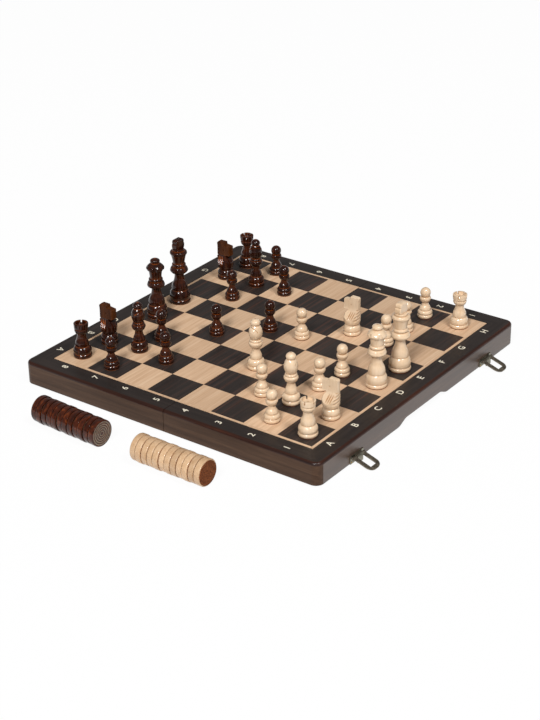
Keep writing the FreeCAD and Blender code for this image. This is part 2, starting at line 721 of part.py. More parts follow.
def rook():
    """A turned body with a dished head and slots sawn into its rim."""
    rim = ROOK_HEAD - ROOK_RIM
    floor = ROOK_HEIGHT - ROOK_DISH
    ease = GROOVE_HEIGHT / 2
    body = turned(stem_profile(**ROOK, thickness=DEEP_COLLAR) + [
        (ROOK_HEAD - 2 * GROOVE_HEIGHT, ROOK_HEAD_BASE - GROOVE_HEIGHT),
        (ROOK_HEAD - ease, ROOK_HEAD_BASE),
        (ROOK_HEAD, ROOK_HEIGHT - GROOVE_HEIGHT),
        (ROOK_HEAD - GROOVE_HEIGHT, ROOK_HEIGHT, ease / 2),
        (rim, ROOK_HEIGHT),
        (rim - GROOVE_HEIGHT, floor),
    ])
    half = CRENEL_WIDTH / 2
    for cut in range(CRENELS):
        slot = box(0, ROOK_HEAD * 2, -half, half, ROOK_HEIGHT - CRENEL_DEPTH, ROOK_HEIGHT + 1)
        slot = slot.cut(rod(rim - GROOVE_HEIGHT, Z * (floor - 2), Z * floor))
        body = body.cut(moved(slot, ORIGIN, 360 * cut / CRENELS))
    return body


def pawn():
    """A turned body with a ball on a deep collar."""
    start = PAWN_HEIGHT - PAWN_BALL - math.sqrt(PAWN_BALL**2 - PAWN_BALL_FOOT**2)
    bulge = dome_bulge(PAWN_BALL_FOOT, PAWN_HEIGHT - start)
    ball = [(PAWN_BALL_FOOT, start), (0, PAWN_HEIGHT, bulge)]
    return turned(stem_profile(**PAWN, thickness=DEEP_COLLAR) + ball)


def knight(depth):
    """A turned foot and body; the head is sawn from the round to a side outline and thinned to a slab."""
    wide = KNIGHT_REACH + KNIGHT_CREST_ROUND
    low = KNIGHT_FOOT + GROOVE_HEIGHT
    body = turned(foot_profile(KNIGHT_BASE, KNIGHT_FOOT, KNIGHT_NECK) + [
        (KNIGHT_NECK, low),
        (KNIGHT_BODY, low + KNIGHT_BODY_RISE, upright_bulge(KNIGHT_BODY - KNIGHT_NECK, KNIGHT_BODY_RISE)),
        (KNIGHT_REACH, low + 2 * KNIGHT_BODY_RISE),
        (KNIGHT_REACH, KNIGHT_HEIGHT),
    ])
    throat = V(-wide, KNIGHT_THROAT, KNIGHT_MUZZLE_BOTTOM)
    chest = V(-wide, wide, KNIGHT_MUZZLE_BOTTOM - KNIGHT_CHEST_DROP)
    crest = KNIGHT_REACH - KNIGHT_CREST_ROUND
    outline = [
        V(-wide, wide, 0),
        V(-wide, -wide, 0),
        V(-wide, -wide, KNIGHT_HEIGHT - KNIGHT_CREST_ROUND),
        V(-wide, -crest, KNIGHT_HEIGHT),
        V(-wide, KNIGHT_BROW - GROOVE_HEIGHT, KNIGHT_HEIGHT),
        V(-wide, KNIGHT_BROW, KNIGHT_MUZZLE_TOP + GROOVE_HEIGHT / 2),
        V(-wide, wide, KNIGHT_MUZZLE_TOP - GROOVE_HEIGHT),
        V(-wide, wide, KNIGHT_MUZZLE_BOTTOM),
        throat,
    ]
    edges = [Part.makeLine(a, b) for a, b in zip(outline, outline[1:])]
    bow = (throat + chest) / 2 + (Y + Z) * 2 * GROOVE_HEIGHT
    edges += [Part.Arc(throat, bow, chest).toShape(), Part.makeLine(chest, outline[0])]
    side = Part.Face(Part.Wire(edges)).extrude(X * 2 * wide)
    half = depth / 2
    cheek = KNIGHT_MUZZLE_BOTTOM - GROOVE_HEIGHT
    right = [
        V(wide, -wide, 0),
        V(wide, -wide, KNIGHT_SHOULDER),
        V(half, -wide, cheek),
        V(half, -wide, KNIGHT_HEIGHT + 1),
    ]
    left = [V(-p.x, p.y, p.z) for p in reversed(right)]
    return body.common(side).common(prism(right + left, Y * 2 * wide))


def man_on_felt(body, base):
    """A man with a magnet let into its base over a felt pad."""
    roof = FELT + MAGNET_HEIGHT
    pocket = rod(MAGNET_RADIUS + MAGNET_GAP, ORIGIN, Z * roof)
    magnet = rod(MAGNET_RADIUS, Z * FELT, Z * roof)
    felt = rod(base - FELT_INSET, ORIGIN, Z * FELT)
    return Part.makeCompound([body.cut(pocket), magnet, felt])


def checker():
    """A disc with ring grooves in its upper face, a magnet and a felt face below."""
    rim = CHECKER_RADIUS - CHECKER_ROUND
    top = CHECKER_THICKNESS
    profile = [
        (CHECKER_RADIUS, FELT),
        (CHECKER_RADIUS, top - CHECKER_ROUND),
        (rim, top, CHECKER_ROUND * (1 - math.sqrt(0.5))),
    ]
    half = GROOVE_WIDTH / 2
    for ring in range(GROOVE_COUNT, 0, -1):
        middle = ring * GROOVE_PITCH
        profile += [(middle + half, top), (middle, top - GROOVE_DEPTH), (middle - half, top)]
    return man_on_felt(turned(profile), CHECKER_RADIUS)


def checker_row(first_y, turn, tip):
    """Discs on edge in a row on the table, a little out of line, the row turned towards the board."""
    disc = checker()
    disc.rotate(ORIGIN, X, tip)
    if tip < 0:
        disc.translate(-Y * CHECKER_THICKNESS)
    near_end = V(-FACE - CHECKER_ROW_OUT, first_y, 0)
    discs = []
    for index in range(CHECKER_COUNT):
        y = first_y + CHECKER_THICKNESS + index * (CHECKER_THICKNESS + CHECKER_GAP)
        x = near_end.x + CHECKER_SWAY * math.sin(SWAY_STEP * index)
        placed = moved(disc, V(x, y, FLOOR + CHECKER_RADIUS))
        placed.rotate(near_end, Z, -turn)
        discs.append(placed)
    return discs


def save(name, shapes):
    """Writes a node, as one shape or as a group of them."""
    shape = shapes if isinstance(shapes, Part.Shape) else Part.makeCompound(shapes)
    shape.exportStep("parts/" + name + ".step")


def build_board():
    hinges = (-HINGE_X, HINGE_X)
    latches = (-LATCH_X, LATCH_X)
    outer, middle = knuckle_spans()
    plate_nails = [p for x in latches for p in plate_nail_places(x)]
    hook_nails = [p for x in latches for p in hook_nail_places(x)]
    screws = [screw(p) for x in hinges for p in screw_places(x)]
    line = border_line()

    save("front_end_wall", end_wall([nail_hole(p) for p in plate_nails]))
    save("rear_end_wall", rear(end_wall([nail_hole(p) for p in hook_nails])))
    for side, place in (("front", lambda shape: shape), ("rear", rear)):
        ranks = range(1, 5) if side == "front" else range(5, 9)
        save(side + "_side_walls", place(side_walls()))
        save(side + "_hinge_wall", place(hinge_wall()))
        save(side + "_top_panel", place(top_panel()))
        save(side + "_steel_sheet", place(steel_sheet()))
        save(side + "_light_veneer", veneer(ranks, 1) + [place(line)])
        save(side + "_dark_veneer", veneer(ranks, 0))
        save(side + "_lining", place(lining()))
    save("front_hinge_leaves", [hinge_leaf(x, outer) for x in hinges])
    save("rear_hinge_leaves", [rear(hinge_leaf(x, middle)) for x in hinges])
    save("hinge_pins", [hinge_pin(x) for x in hinges])
    save("front_fasteners", screws + [nail(p) for p in plate_nails])
    save("rear_fasteners", [rear(s) for s in screws + [nail(p) for p in hook_nails]])
    save("latch_plates", [latch_plate(x) for x in latches])
    save("latch_hooks", [rear(latch_hook(x)) for x in latches])
    save("left_latch_loop", latch_loop(-LATCH_X))
    save("right_latch_loop", latch_loop(LATCH_X))


def build_men():
    men = {
        "king": man_on_felt(king(), KING["base"]),
        "queen": man_on_felt(queen(), QUEEN["base"]),
        "bishop": man_on_felt(bishop(), BISHOP["base"]),
        "rook": man_on_felt(rook(), ROOK["base"]),
        "pawn": man_on_felt(pawn(), PAWN["base"]),
        "white_knight": man_on_felt(knight(LIGHT_KNIGHT_DEPTH), KNIGHT_BASE),
        "black_knight": man_on_felt(knight(DARK_KNIGHT_DEPTH), KNIGHT_BASE),
    }
    for side, layout, ahead in (("white", WHITE_MEN, 0), ("black", BLACK_MEN, 180)):
        for kind, square, dx, dy, turn in layout:
            man = men[side + "_knight" if kind == "knight" else kind]
            shape = moved(man, square_centre(square) + V(dx, dy, 0), ahead + turn)
            save(side + "_" + kind + "_" + square, shape)
    save("dark_checkers", checker_row(DARK_ROW_Y, DARK_ROW_TURN, 90))
    save("light_checkers", checker_row(LIGHT_ROW_Y, LIGHT_ROW_TURN, -90))


os.makedirs("parts", exist_ok=True)
build_board()
build_men()
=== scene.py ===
# %% [markdown]
# # A folding board for chess and checkers
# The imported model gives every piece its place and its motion. This lesson dresses it: the turned men, the
# checkers, the rounded wooden case and the latches become fine surfaces worked out with numpy, and each
# wood, felt and metal gets a finish made of shader nodes. Lengths are written in millimetres and turned
# into metres where a mesh is made.

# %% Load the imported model
import bmesh
import bpy
import numpy as np
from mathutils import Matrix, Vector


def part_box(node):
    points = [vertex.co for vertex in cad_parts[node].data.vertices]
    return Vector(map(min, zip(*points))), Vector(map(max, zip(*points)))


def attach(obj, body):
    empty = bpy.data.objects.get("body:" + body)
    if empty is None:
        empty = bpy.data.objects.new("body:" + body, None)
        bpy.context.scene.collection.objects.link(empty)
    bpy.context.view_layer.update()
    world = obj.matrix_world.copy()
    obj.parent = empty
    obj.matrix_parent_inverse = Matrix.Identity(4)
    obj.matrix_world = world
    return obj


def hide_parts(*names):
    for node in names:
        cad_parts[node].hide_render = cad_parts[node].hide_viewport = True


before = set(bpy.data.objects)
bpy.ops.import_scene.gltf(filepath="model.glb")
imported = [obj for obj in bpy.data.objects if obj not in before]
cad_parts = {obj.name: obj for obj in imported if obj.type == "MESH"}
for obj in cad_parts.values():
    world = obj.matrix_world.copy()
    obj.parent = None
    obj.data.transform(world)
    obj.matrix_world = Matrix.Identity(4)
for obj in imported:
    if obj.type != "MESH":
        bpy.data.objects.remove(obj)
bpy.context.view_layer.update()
MM = 0.001

# %% [markdown]
# ## Sizes that the pieces share
# The board is measured in squares, so the size of one square places the field, the line round it, the
# border and every man. The heights come from the case: its rims lie at zero and the playing surface is on
# top.

# %% Sizes of the board
SQUARE = 41.25
FILES = "abcdefgh"
FIELD = len(FILES) * SQUARE
LINE_WIDTH = 3.0
BORDER = 25.5
FACE = FIELD / 2 + BORDER
BOARD_HEIGHT = 25.4
PANEL = 3.2
PANEL_ROUND = 2.9
CORNER_RADIUS = 9.3
WALL = 9.5
SEAM = 0.3
PANEL_BOTTOM = BOARD_HEIGHT - PANEL
FELT = 0.8


def square_centre(name):
    """The middle of a named square: the count of squares from the board's centre, times one square."""
    column = FILES.index(name[0]) - 3.5
    row = int(name[1]) - 4.5
    return np.array([column * SQUARE, row * SQUARE, BOARD_HEIGHT])


print("board", round(2 * FACE, 1), "mm across; a1 at", square_centre("a1"))

# %% [markdown]
# ## From arrays of points to meshes
# Every new piece is a grid of points: rows follow one parameter of the surface and columns the other. Four
# neighbours make a face. Points that meet, as at the tip of a turned piece, are merged, so that seams and
# poles are closed. A sharp edge is kept wherever two faces meet at a steep angle, and the rest is shaded
# smooth.

# %% A mesh from grids
def grid_faces(rows, columns, wrap, first):
    """Corner numbers of each face between row i, i+1 and column j, j+1, counted from first."""
    i, j = np.meshgrid(np.arange(rows - 1), np.arange(columns if wrap else columns - 1), indexing="ij")
    k = (j + 1) % columns
    corners = np.stack([i * columns + j, i * columns + k, (i + 1) * columns + k, (i + 1) * columns + j], -1)
    return corners.reshape(-1, 4) + first


def piece(name, grids, finishes, body, stands_for=(), wrap=True, sharp=38, values=None):
    """Joins grids of points in millimetres into one object on a body. A grid is (points, finish number),
    and the number may be an array that fits the faces. values, one array per grid, are kept on the points
    as the attribute called hollow, and the grid's own number as the attribute called disc."""
    points, faces, numbers = [], [], []
    first = 0
    for grid, number in grids:
        rows, columns, _ = grid.shape
        corners = grid_faces(rows, columns, wrap, first)
        points.append(grid.reshape(-1, 3) * MM)
        faces.append(corners)
        numbers.append(np.broadcast_to(number, (rows - 1, len(corners) // (rows - 1))).ravel())
        first += rows * columns
    mesh = bpy.data.meshes.new(name)
    mesh.from_pydata(np.concatenate(points), [], np.concatenate(faces))
    mesh.polygons.foreach_set("material_index", np.concatenate(numbers).astype(np.int32))
    if values is not None:
        hollow = mesh.attributes.new("hollow", "FLOAT", "POINT")
        hollow.data.foreach_set("value", np.concatenate([v.ravel() for v in values]).astype(np.float32))
        disc = mesh.attributes.new("disc", "FLOAT", "POINT")
        order = np.repeat(np.arange(len(values)), [v.size for v in values])
        disc.data.foreach_set("value", order.astype(np.float32))
    shell = bmesh.new()
    shell.from_mesh(mesh)
    bmesh.ops.remove_doubles(shell, verts=shell.verts, dist=2e-6)
    bmesh.ops.holes_fill(shell, edges=shell.edges)
    bmesh.ops.recalc_face_normals(shell, faces=shell.faces)
    shell.to_mesh(mesh)
    shell.free()
    mesh.polygons.foreach_set("use_smooth", np.ones(len(mesh.polygons), bool))
    mesh.set_sharp_from_angle(angle=np.radians(sharp))
    for finish in finishes:
        mesh.materials.append(finish)
    made = bpy.data.objects.new(name, mesh)
    bpy.context.scene.collection.objects.link(made)
    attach(made, body)
    if stands_for:
        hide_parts(*stands_for)
    return made


def dress(nodes, finish):
    """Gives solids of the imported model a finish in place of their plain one."""
    for name in nodes:
        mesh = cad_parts[name].data
        mesh.materials.clear()
        mesh.materials.append(finish)
        mesh.polygons.foreach_set("material_index", np.zeros(len(mesh.polygons), np.int32))


# %% [markdown]
# ## Finishes
# A finish is a Principled shader with noise patterns on the piece's own coordinates. These three helpers
# keep the recipes short: one starts a material, one adds a node and links its inputs, and one turns a
# colour as seen on a screen into the linear light that shaders work in.

# %% Helpers for shader nodes
def seen(red, green, blue):
    """Linear colour of a screen colour given in 0 to 255: the inverse of the screen's gamma curve."""
    c = np.array([red, green, blue]) / 255
    return (*np.where(c < 0.04045, c / 12.92, ((c + 0.055) / 1.055) ** 2.4), 1.0)


def start_finish(name, roughness, **sockets):
    """A material and its shader, with the values that are the same all over set on the shader's sockets."""
    material = bpy.data.materials.new(name)
    material.use_nodes = True
    shader = material.node_tree.nodes["Principled BSDF"]
    shader.inputs["Roughness"].default_value = roughness
    for key, value in sockets.items():
        shader.inputs[key.replace("_", " ")].default_value = value
    return material, shader


def add(material, kind, inputs=None, **settings):
    """A shader node with its settings; an input is a plain value or another node's output."""
    made = material.node_tree.nodes.new("ShaderNode" + kind)
    for key, value in settings.items():
        setattr(made, key, value)
    for key, value in (inputs or {}).items():
        if isinstance(value, bpy.types.NodeSocket):
            material.node_tree.links.new(value, made.inputs[key])
        else:
            made.inputs[key].default_value = value
    return made


def ramp(material, factor, stops):
    """A colour ramp: each stop is a place from 0 to 1 and a colour."""
    made = add(material, "ValToRGB", {"Fac": factor})
    elements = made.color_ramp.elements
    while len(elements) < len(stops):
        elements.new(0.5)
    for element, (place, colour) in zip(elements, stops):
        element.position = place
        element.color = colour
    return made.outputs["Color"]


def noise(material, where, scale, detail=4.0, roughness=0.55, distortion=0.0):
    made = add(material, "TexNoise", {"Vector": where, "Scale": scale, "Detail": detail,
                                      "Roughness": roughness, "Distortion": distortion})
    return made.outputs["Fac"]


def blend(material, kind, factor, first, second):
    """Mixes two colours; kind is the way they mix, such as MIX or MULTIPLY."""
    made = add(material, "Mix", data_type="RGBA", blend_type=kind)
    sockets = {0: factor, 6: first, 7: second}
    for key, value in sockets.items():
        if isinstance(value, bpy.types.NodeSocket):
            material.node_tree.links.new(value, made.inputs[key])
        else:
            made.inputs[key].default_value = value
    return made.outputs[2]


def finish_surface(material, shader, colour, bump, height, roughness=None):
    """Links the colour and a bump of the given height in metres."""
    links = material.node_tree.links
    links.new(colour, shader.inputs["Base Color"])
    raised = add(material, "Bump", {"Height": bump, "Distance": height, "Strength": 1.0})
    links.new(raised.outputs["Normal"], shader.inputs["Normal"])
    if roughness is not None:
        links.new(roughness, shader.inputs["Roughness"])
    return material


print("white as seen is", seen(255, 255, 255)[:3])

# %% [markdown]
# ## Wood
# Wood is a stack of fibres, so its pattern is noise drawn out along the grain: a broad one for the yearly
# bands, a fine one for pores. On the field each veneer square is cut from another place in the sheet, so
# the number of the square shifts the pattern and its tone. The men and the case have one pattern each, read
# at their own place.

# %% Veneer squares
def veneer(name, stops, streaks, fibre_height):
    """Veneer whose grain runs along X; floor(position / square) picks each square's own cut and tone."""
    material, shader = start_finish(name, 0.42, Specular_IOR_Level=0.25)
    where = add(material, "TexCoord").outputs["Object"]
    cell = add(material, "VectorMath", {0: where, 1: (SQUARE * MM,) * 2 + (1.0,)}, operation="DIVIDE")
    number = add(material, "VectorMath", {0: cell.outputs[0]}, operation="FLOOR")
    chance = add(material, "TexWhiteNoise", {"Vector": number.outputs[0]}, noise_dimensions="3D")
    shift = add(material, "VectorMath", {0: chance.outputs["Color"], 1: where}, operation="ADD").outputs[0]
    grain = add(material, "Mapping", {"Vector": shift, "Scale": (9, 190, 190)}).outputs[0]
    thin = add(material, "Mapping", {"Vector": shift, "Scale": (8, 430, 430)}).outputs[0]
    fibre = add(material, "Mapping", {"Vector": shift, "Scale": (60, 1500, 1500)}).outputs[0]
    pores = noise(material, fibre, 1.0, 3.0, 0.6)
    colour = ramp(material, noise(material, grain, 1.0, 5.0, 0.6, 0.35), stops)
    figure = ramp(material, noise(material, thin, 1.0, 2.0, 0.5, 0.3), streaks)
    colour = blend(material, "MULTIPLY", 1.0, colour, figure)
    tone = ramp(material, chance.outputs["Value"], [(0.0, (0.9, 0.9, 0.9, 1)), (1.0, (1.05, 1.05, 1.05, 1))])
    colour = blend(material, "MULTIPLY", 1.0, colour, tone)
    fine = ramp(material, pores, [(0.32, (0.86, 0.84, 0.82, 1)), (0.55, (1, 1, 1, 1))])
    colour = blend(material, "MULTIPLY", 0.7, colour, fine)
    gloss = ramp(material, pores, [(0.3, (0.5,) * 3 + (1,)), (0.7, (0.38,) * 3 + (1,))])
    return finish_surface(material, shader, colour, pores, fibre_height, gloss)


light_veneer = veneer("pale_veneer", [(0.3, seen(206, 170, 137)), (0.55, seen(220, 186, 153)),
                                      (0.75, seen(230, 199, 168))],
                      [(0.35, (1, 1, 1, 1)), (0.7, (0.92, 0.88, 0.84, 1))], 0.00004)
dark_veneer = veneer("dark_veneer", [(0.3, seen(37, 31, 29)), (0.55, seen(49, 42, 39)),
                                     (0.78, seen(62, 52, 48))],
                     [(0.54, (1, 1, 1, 1)), (0.68, (2.5, 1.6, 1.3, 1))], 0.00005)
print("veneers:", light_veneer.name, dark_veneer.name)


# %% Solid wood for the case, the men and the checkers
LACQUER_ROUGHNESS = 0.05


def timber(name, stops, along, across, gloss, coat, flow="Z", shine=0.4, grain=0.55, tint=None, hollow=None,
           cells=False):
    """Wood whose pattern repeats about along times a metre on the axis flow and across times a metre on the
    others. hollow, a colour, is mixed in by the piece's own hollow attribute, which is high in grooves and
    cuts:
    where that colour is darker, on the pale woods and the dark carved wood, it is painted shade; on the dark
    turned wood it is an orange tone and on the russet discs pale rings. cells gives each disc of a row,
    numbered by the piece's own disc attribute, its own tone."""
    material, shader = start_finish(name, gloss, Coat_Weight=coat, Coat_Roughness=LACQUER_ROUGHNESS,
                                    Specular_IOR_Level=shine)
    where = add(material, "TexCoord").outputs["Object"]
    scale = [across, across, across]
    scale["XYZ".index(flow)] = along
    fibres = add(material, "Mapping", {"Vector": where, "Scale": scale}).outputs[0]
    pores = noise(material, fibres, 7.0, 3.0, 0.6)
    colour = ramp(material, noise(material, fibres, 1.0, 5.0, 0.6, 0.5), stops)
    if tint:
        mottle = ramp(material, noise(material, where, 28.0, 1.0), tint)
        colour = blend(material, "MULTIPLY", 1.0, colour, mottle)
    fine = ramp(material, pores, [(0.35, (0.84, 0.82, 0.8, 1)), (0.55, (1, 1, 1, 1))])
    colour = blend(material, "MULTIPLY", grain, colour, fine)
    if cells:
        disc = add(material, "Attribute", attribute_name="disc").outputs["Fac"]
        chance = add(material, "TexWhiteNoise", {"W": disc}, noise_dimensions="1D").outputs["Value"]
        tone = ramp(material, chance, [(0.0, (0.84, 0.82, 0.8, 1)), (1.0, (1.1, 1.1, 1.1, 1))])
        colour = blend(material, "MULTIPLY", 1.0, colour, tone)
    # The groove colour laid in by the hollow attribute: painted shade wherever it is darker than the wood.
    if hollow:
        depth = add(material, "Attribute", attribute_name="hollow").outputs["Fac"]
        colour = blend(material, "MIX", depth, colour, hollow)
    return finish_surface(material, shader, colour, pores, 0.00003)


BORDER_TONES = [(0.3, seen(34, 28, 26)), (0.55, seen(44, 37, 34)), (0.8, seen(56, 46, 42))]
LIP_TONES = [(0.3, seen(34, 15, 9)), (0.55, seen(50, 24, 14)), (0.8, seen(72, 37, 22))]
WALL_TONES = [(0.3, seen(58, 39, 26)), (0.55, seen(75, 53, 38)), (0.8, seen(91, 67, 49))]
PALE_TONES = [(0.25, seen(218, 186, 150)), (0.5, seen(228, 200, 168)), (0.8, seen(236, 212, 184))]
DISC_TONES = [(0.25, seen(190, 152, 114)), (0.5, seen(206, 172, 136)), (0.8, seen(218, 188, 154))]
DARK_TONES = [(0.3, seen(27, 8, 3)), (0.55, seen(48, 18, 7)), (0.8, seen(96, 46, 17))]
CARVED_TONES = [(0.3, seen(54, 26, 11)), (0.55, seen(82, 45, 20)), (0.8, seen(106, 63, 30))]
RUSSET_TONES = [(0.3, seen(32, 10, 3)), (0.55, seen(72, 29, 10)), (0.8, seen(138, 70, 26))]
border_wood = timber("border_wood", BORDER_TONES, 10, 220, 0.42, 0.0, "X", 0.25)
border_side_wood = timber("border_side_wood", BORDER_TONES, 10, 220, 0.42, 0.0, "Y", 0.25)
lip_wood = timber("lip_wood", LIP_TONES, 10, 220, 0.34, 0.1, "X", 0.3)
lip_side_wood = timber("lip_side_wood", LIP_TONES, 10, 220, 0.34, 0.1, "Y", 0.3)
wall_end_wood = timber("wall_end_wood", WALL_TONES, 9, 200, 0.36, 0.0, "X", 1.0)
wall_side_wood = timber("wall_side_wood", WALL_TONES, 9, 200, 0.36, 0.0, "Y", 0.2)
MOTTLE = [(0.3, (0.95, 0.93, 0.9, 1)), (0.7, (1, 1, 1, 1))]
DEEP_MOTTLE = [(0.3, (0.72, 0.66, 0.62, 1)), (0.7, (1.1, 1.05, 1, 1))]
# Pale turned wood: its darker hollow brown is painted shade in the creases, grooves and the bishop's slit.
light_wood = timber("pale_turned_wood", PALE_TONES, 16, 150, 0.34, 0.9, shine=0.2, grain=0.2, tint=MOTTLE,
                    hollow=seen(172, 120, 72))
dark_wood = timber("dark_turned_wood", DARK_TONES, 20, 240, 0.3, 0.7, shine=0.03, tint=DEEP_MOTTLE,
                   hollow=seen(150, 76, 28))
# Pale carved wood: its darker hollow brown is painted shade in the knight's eye and gouges.
light_carved_wood = timber("pale_carved_wood", PALE_TONES, 16, 150, 0.38, 0.4, shine=0.2, grain=0.3,
                           tint=MOTTLE, hollow=seen(178, 128, 80))
# Dark carved wood: its near-black hollow brown is painted shade in the knight's eye and gouges above the jaw.
dark_carved_wood = timber("dark_carved_wood", CARVED_TONES, 20, 240, 0.34, 0.12, shine=0.03, tint=DEEP_MOTTLE,
                          hollow=seen(52, 24, 10))
# Pale disc wood: its darker hollow colour is painted shade in the ring grooves of the checkers' faces.
light_disc_wood = timber("pale_disc_wood", DISC_TONES, 180, 180, 0.36, 0.15, "Y", grain=0.3, tint=MOTTLE,
                         hollow=seen(190, 148, 102), cells=True)
dark_disc_wood = timber("russet_disc_wood", RUSSET_TONES, 60, 240, 0.3, 0.6, "X", shine=0.05, tint=DEEP_MOTTLE,
                        hollow=seen(132, 117, 96), cells=True)
print("timbers:", [m.name for m in bpy.data.materials if "wood" in m.name])


# %% [markdown]
# ## Felt and metals
# Felt is matt and slightly uneven, so it gets fine noise in colour and bump, and a soft sheen. The latches
# are antiqued: dark where the bronze is flat, bright where handling has rubbed the edges, which Geometry's
# pointiness would show only in one renderer, so a noise on the piece's own coordinates breaks up the tone
# instead.

# %% Felt and metal finishes
def felt(name, colour, lighter):
    material, shader = start_finish(name, 0.95, Specular_IOR_Level=0.08, Sheen_Weight=0.03, Sheen_Roughness=0.5)
    where = add(material, "TexCoord").outputs["Object"]
    fuzz = noise(material, where, 900.0, 6.0, 0.75)
    mottle = noise(material, where, 60.0, 3.0, 0.6)
    shade = ramp(material, fuzz, [(0.38, colour), (0.64, lighter)])
    shade = blend(material, "MULTIPLY", 0.7, shade, ramp(material, mottle, [(0.3, (0.8,) * 3 + (1,)),
                                                                            (0.7, (1, 1, 1, 1))]))
    return finish_surface(material, shader, shade, fuzz, 0.0003)


def metal(name, dull, bright, roughness, spots):
    material, shader = start_finish(name, roughness, Metallic=1.0)
    where = add(material, "TexCoord").outputs["Object"]
    patina = noise(material, where, spots, 5.0, 0.65, 0.4)
    scuffs = noise(material, where, spots * 6, 2.0, 0.6)
    shade = ramp(material, patina, [(0.35, dull), (0.68, bright)])
    rough = ramp(material, scuffs, [(0.3, (roughness * 0.8,) * 3 + (1,)), (0.7, (roughness * 1.3,) * 3 + (1,))])
    return finish_surface(material, shader, shade, scuffs, 0.00002, rough)


base_felt = felt("base_felt", seen(74, 34, 15), seen(146, 84, 46))
tray_felt = felt("tray_felt", seen(88, 26, 24), seen(122, 44, 38))
bronze = metal("antiqued_bronze", seen(98, 90, 79), seen(152, 141, 125), 0.5, 260.0)
# A paler, greyer copy of the bronze for the latch plates and hooks: its paler tone is painted light, standing
# in for the light on the plates.
lit_bronze = metal("lit_bronze", seen(112, 108, 94), seen(164, 160, 144), 0.38, 260.0)
brass = metal("hinge_brass", seen(150, 118, 62), seen(196, 164, 96), 0.28, 150.0)
steel = metal("sheet_steel", seen(120, 121, 124), seen(150, 151, 154), 0.4, 90.0)
print("felts and metals:", base_felt.name, tray_felt.name, bronze.name, brass.name, steel.name)

# %% [markdown]
# ## Turned shapes
# A man is wood turned on a lathe: one outline, spun round. The outline is a list of corners, and a corner
# that is reached along an arc carries a bulge, the height of the arc over its chord. With chord c and bulge
# b, the arc turns through 4 atan(2b / c), which gives its radius and every point on it at once.

# %% Outlines and turning
def arc(start, end, bulge, step):
    """Points from start to end on an arc that stands out from its chord by bulge: R sin t along the chord and
    R cos t across it. With no bulge it is a straight run."""
    start, end = np.array(start, float), np.array(end, float)
    along = end - start
    chord = np.hypot(*along)
    count = max(2, int(np.ceil(chord / step)) + 1)
    t = np.linspace(0, 1, count)[:, None]
    line = start + along * t
    if abs(bulge) < 1e-9:
        return line
    turn = 4 * np.arctan(2 * bulge / chord)
    radius = chord / (2 * np.sin(turn / 2))
    angle = (t - 0.5) * turn
    out = np.array([along[1], -along[0]]) / chord
    over = np.cos(angle) - np.cos(turn / 2)
    return (start + end) / 2 + along / chord * radius * np.sin(angle) + out * radius * over


def outline(corners, step=0.6):
    """Runs through corners (radius, height) or (radius, height, bulge), from the axis to the axis."""
    stops = [(0.0, corners[0][1])] + [c[:2] for c in corners]
    bulges = [c[2] if len(c) > 2 else 0.0 for c in corners]
    if stops[-1][0] > 0:
        stops.append((0.0, stops[-1][1]))
        bulges.append(0.0)
    runs = [arc(a, b, bulge, step) for a, b, bulge in zip(stops, stops[1:], bulges)]
    return np.concatenate([runs[0]] + [run[1:] for run in runs[1:]])


def spin(line, angles):
    """Turns an outline about Z: the point at radius r and angle a is (r cos a, r sin a, z)."""
    r, z = line.T
    x, y = np.outer(r, np.cos(angles)), np.outer(r, np.sin(angles))
    return np.stack([x, y, np.outer(z, np.ones_like(angles))], -1)


def hollows(line, reach=1.6):
    """How far each point of an outline lies inside the average of its neighbours along the line, as 0 to
    1."""
    steps = np.hypot(*np.diff(line, axis=0).T)
    length = np.concatenate([[0], np.cumsum(steps)])
    near = np.exp(-((length[:, None] - length[None, :]) / reach) ** 2)
    average = (near @ line[:, 0]) / near.sum(1)
    return np.clip((average - line[:, 0]) / 0.8, 0, 1)


def upright_bulge(aside, rise):
    """Bulge of an arc with one end upright: c / 2 tan(a / 2), for a chord c at the angle a from upright."""
    return np.hypot(aside, rise) / 2 * np.tan(np.arctan2(aside, rise) / 2)


def dome_bulge(radius, height):
    """Bulge of an arc that rises by height and meets the axis squarely: R - sqrt(R^2 - c^2 / 4)."""
    chord_squared = radius**2 + height**2
    ball = chord_squared / (2 * height)
    return ball - np.sqrt(ball**2 - chord_squared / 4)


ROUND = np.linspace(0, 2 * np.pi, 80, endpoint=False)
FINE_ROUND = np.linspace(0, 2 * np.pi, 144, endpoint=False)
print("an arc of chord 2 and bulge 1 ends at", arc((0, 0), (0, 2), 1, 0.5)[-1])

# %% [markdown]
# ## The men's outlines
# All men but the knight share a felt pad, a disc, a swollen foot, a hollow stem and a collar. What stands
# above the collar tells them apart. The figures are the real sizes in millimetres above the playing
# surface.

# %% Outlines that the men share
DISC_TOP = 4.0
GROOVE = 0.6
COLLAR = 3.4
DEEP_COLLAR = 3.6
KING = dict(base=12.0, foot=15.9, stem=9.1, neck=5.5, neck_height=35.4, collar=10.3, collar_height=39.8)
QUEEN = dict(base=11.6, foot=15.0, stem=9.1, neck=5.2, neck_height=36.0, collar=9.9, collar_height=38.6)
BISHOP = dict(base=9.5, foot=12.3, stem=6.4, neck=4.3, neck_height=24.6, collar=7.6, collar_height=29.4)
ROOK = dict(base=10.2, foot=12.9, stem=7.4, neck=4.9, neck_height=27.6, collar=7.4, collar_height=31.0)
PAWN = dict(base=8.5, foot=9.4, stem=6.3, neck=3.4, neck_height=18.6, collar=6.2, collar_height=22.9)


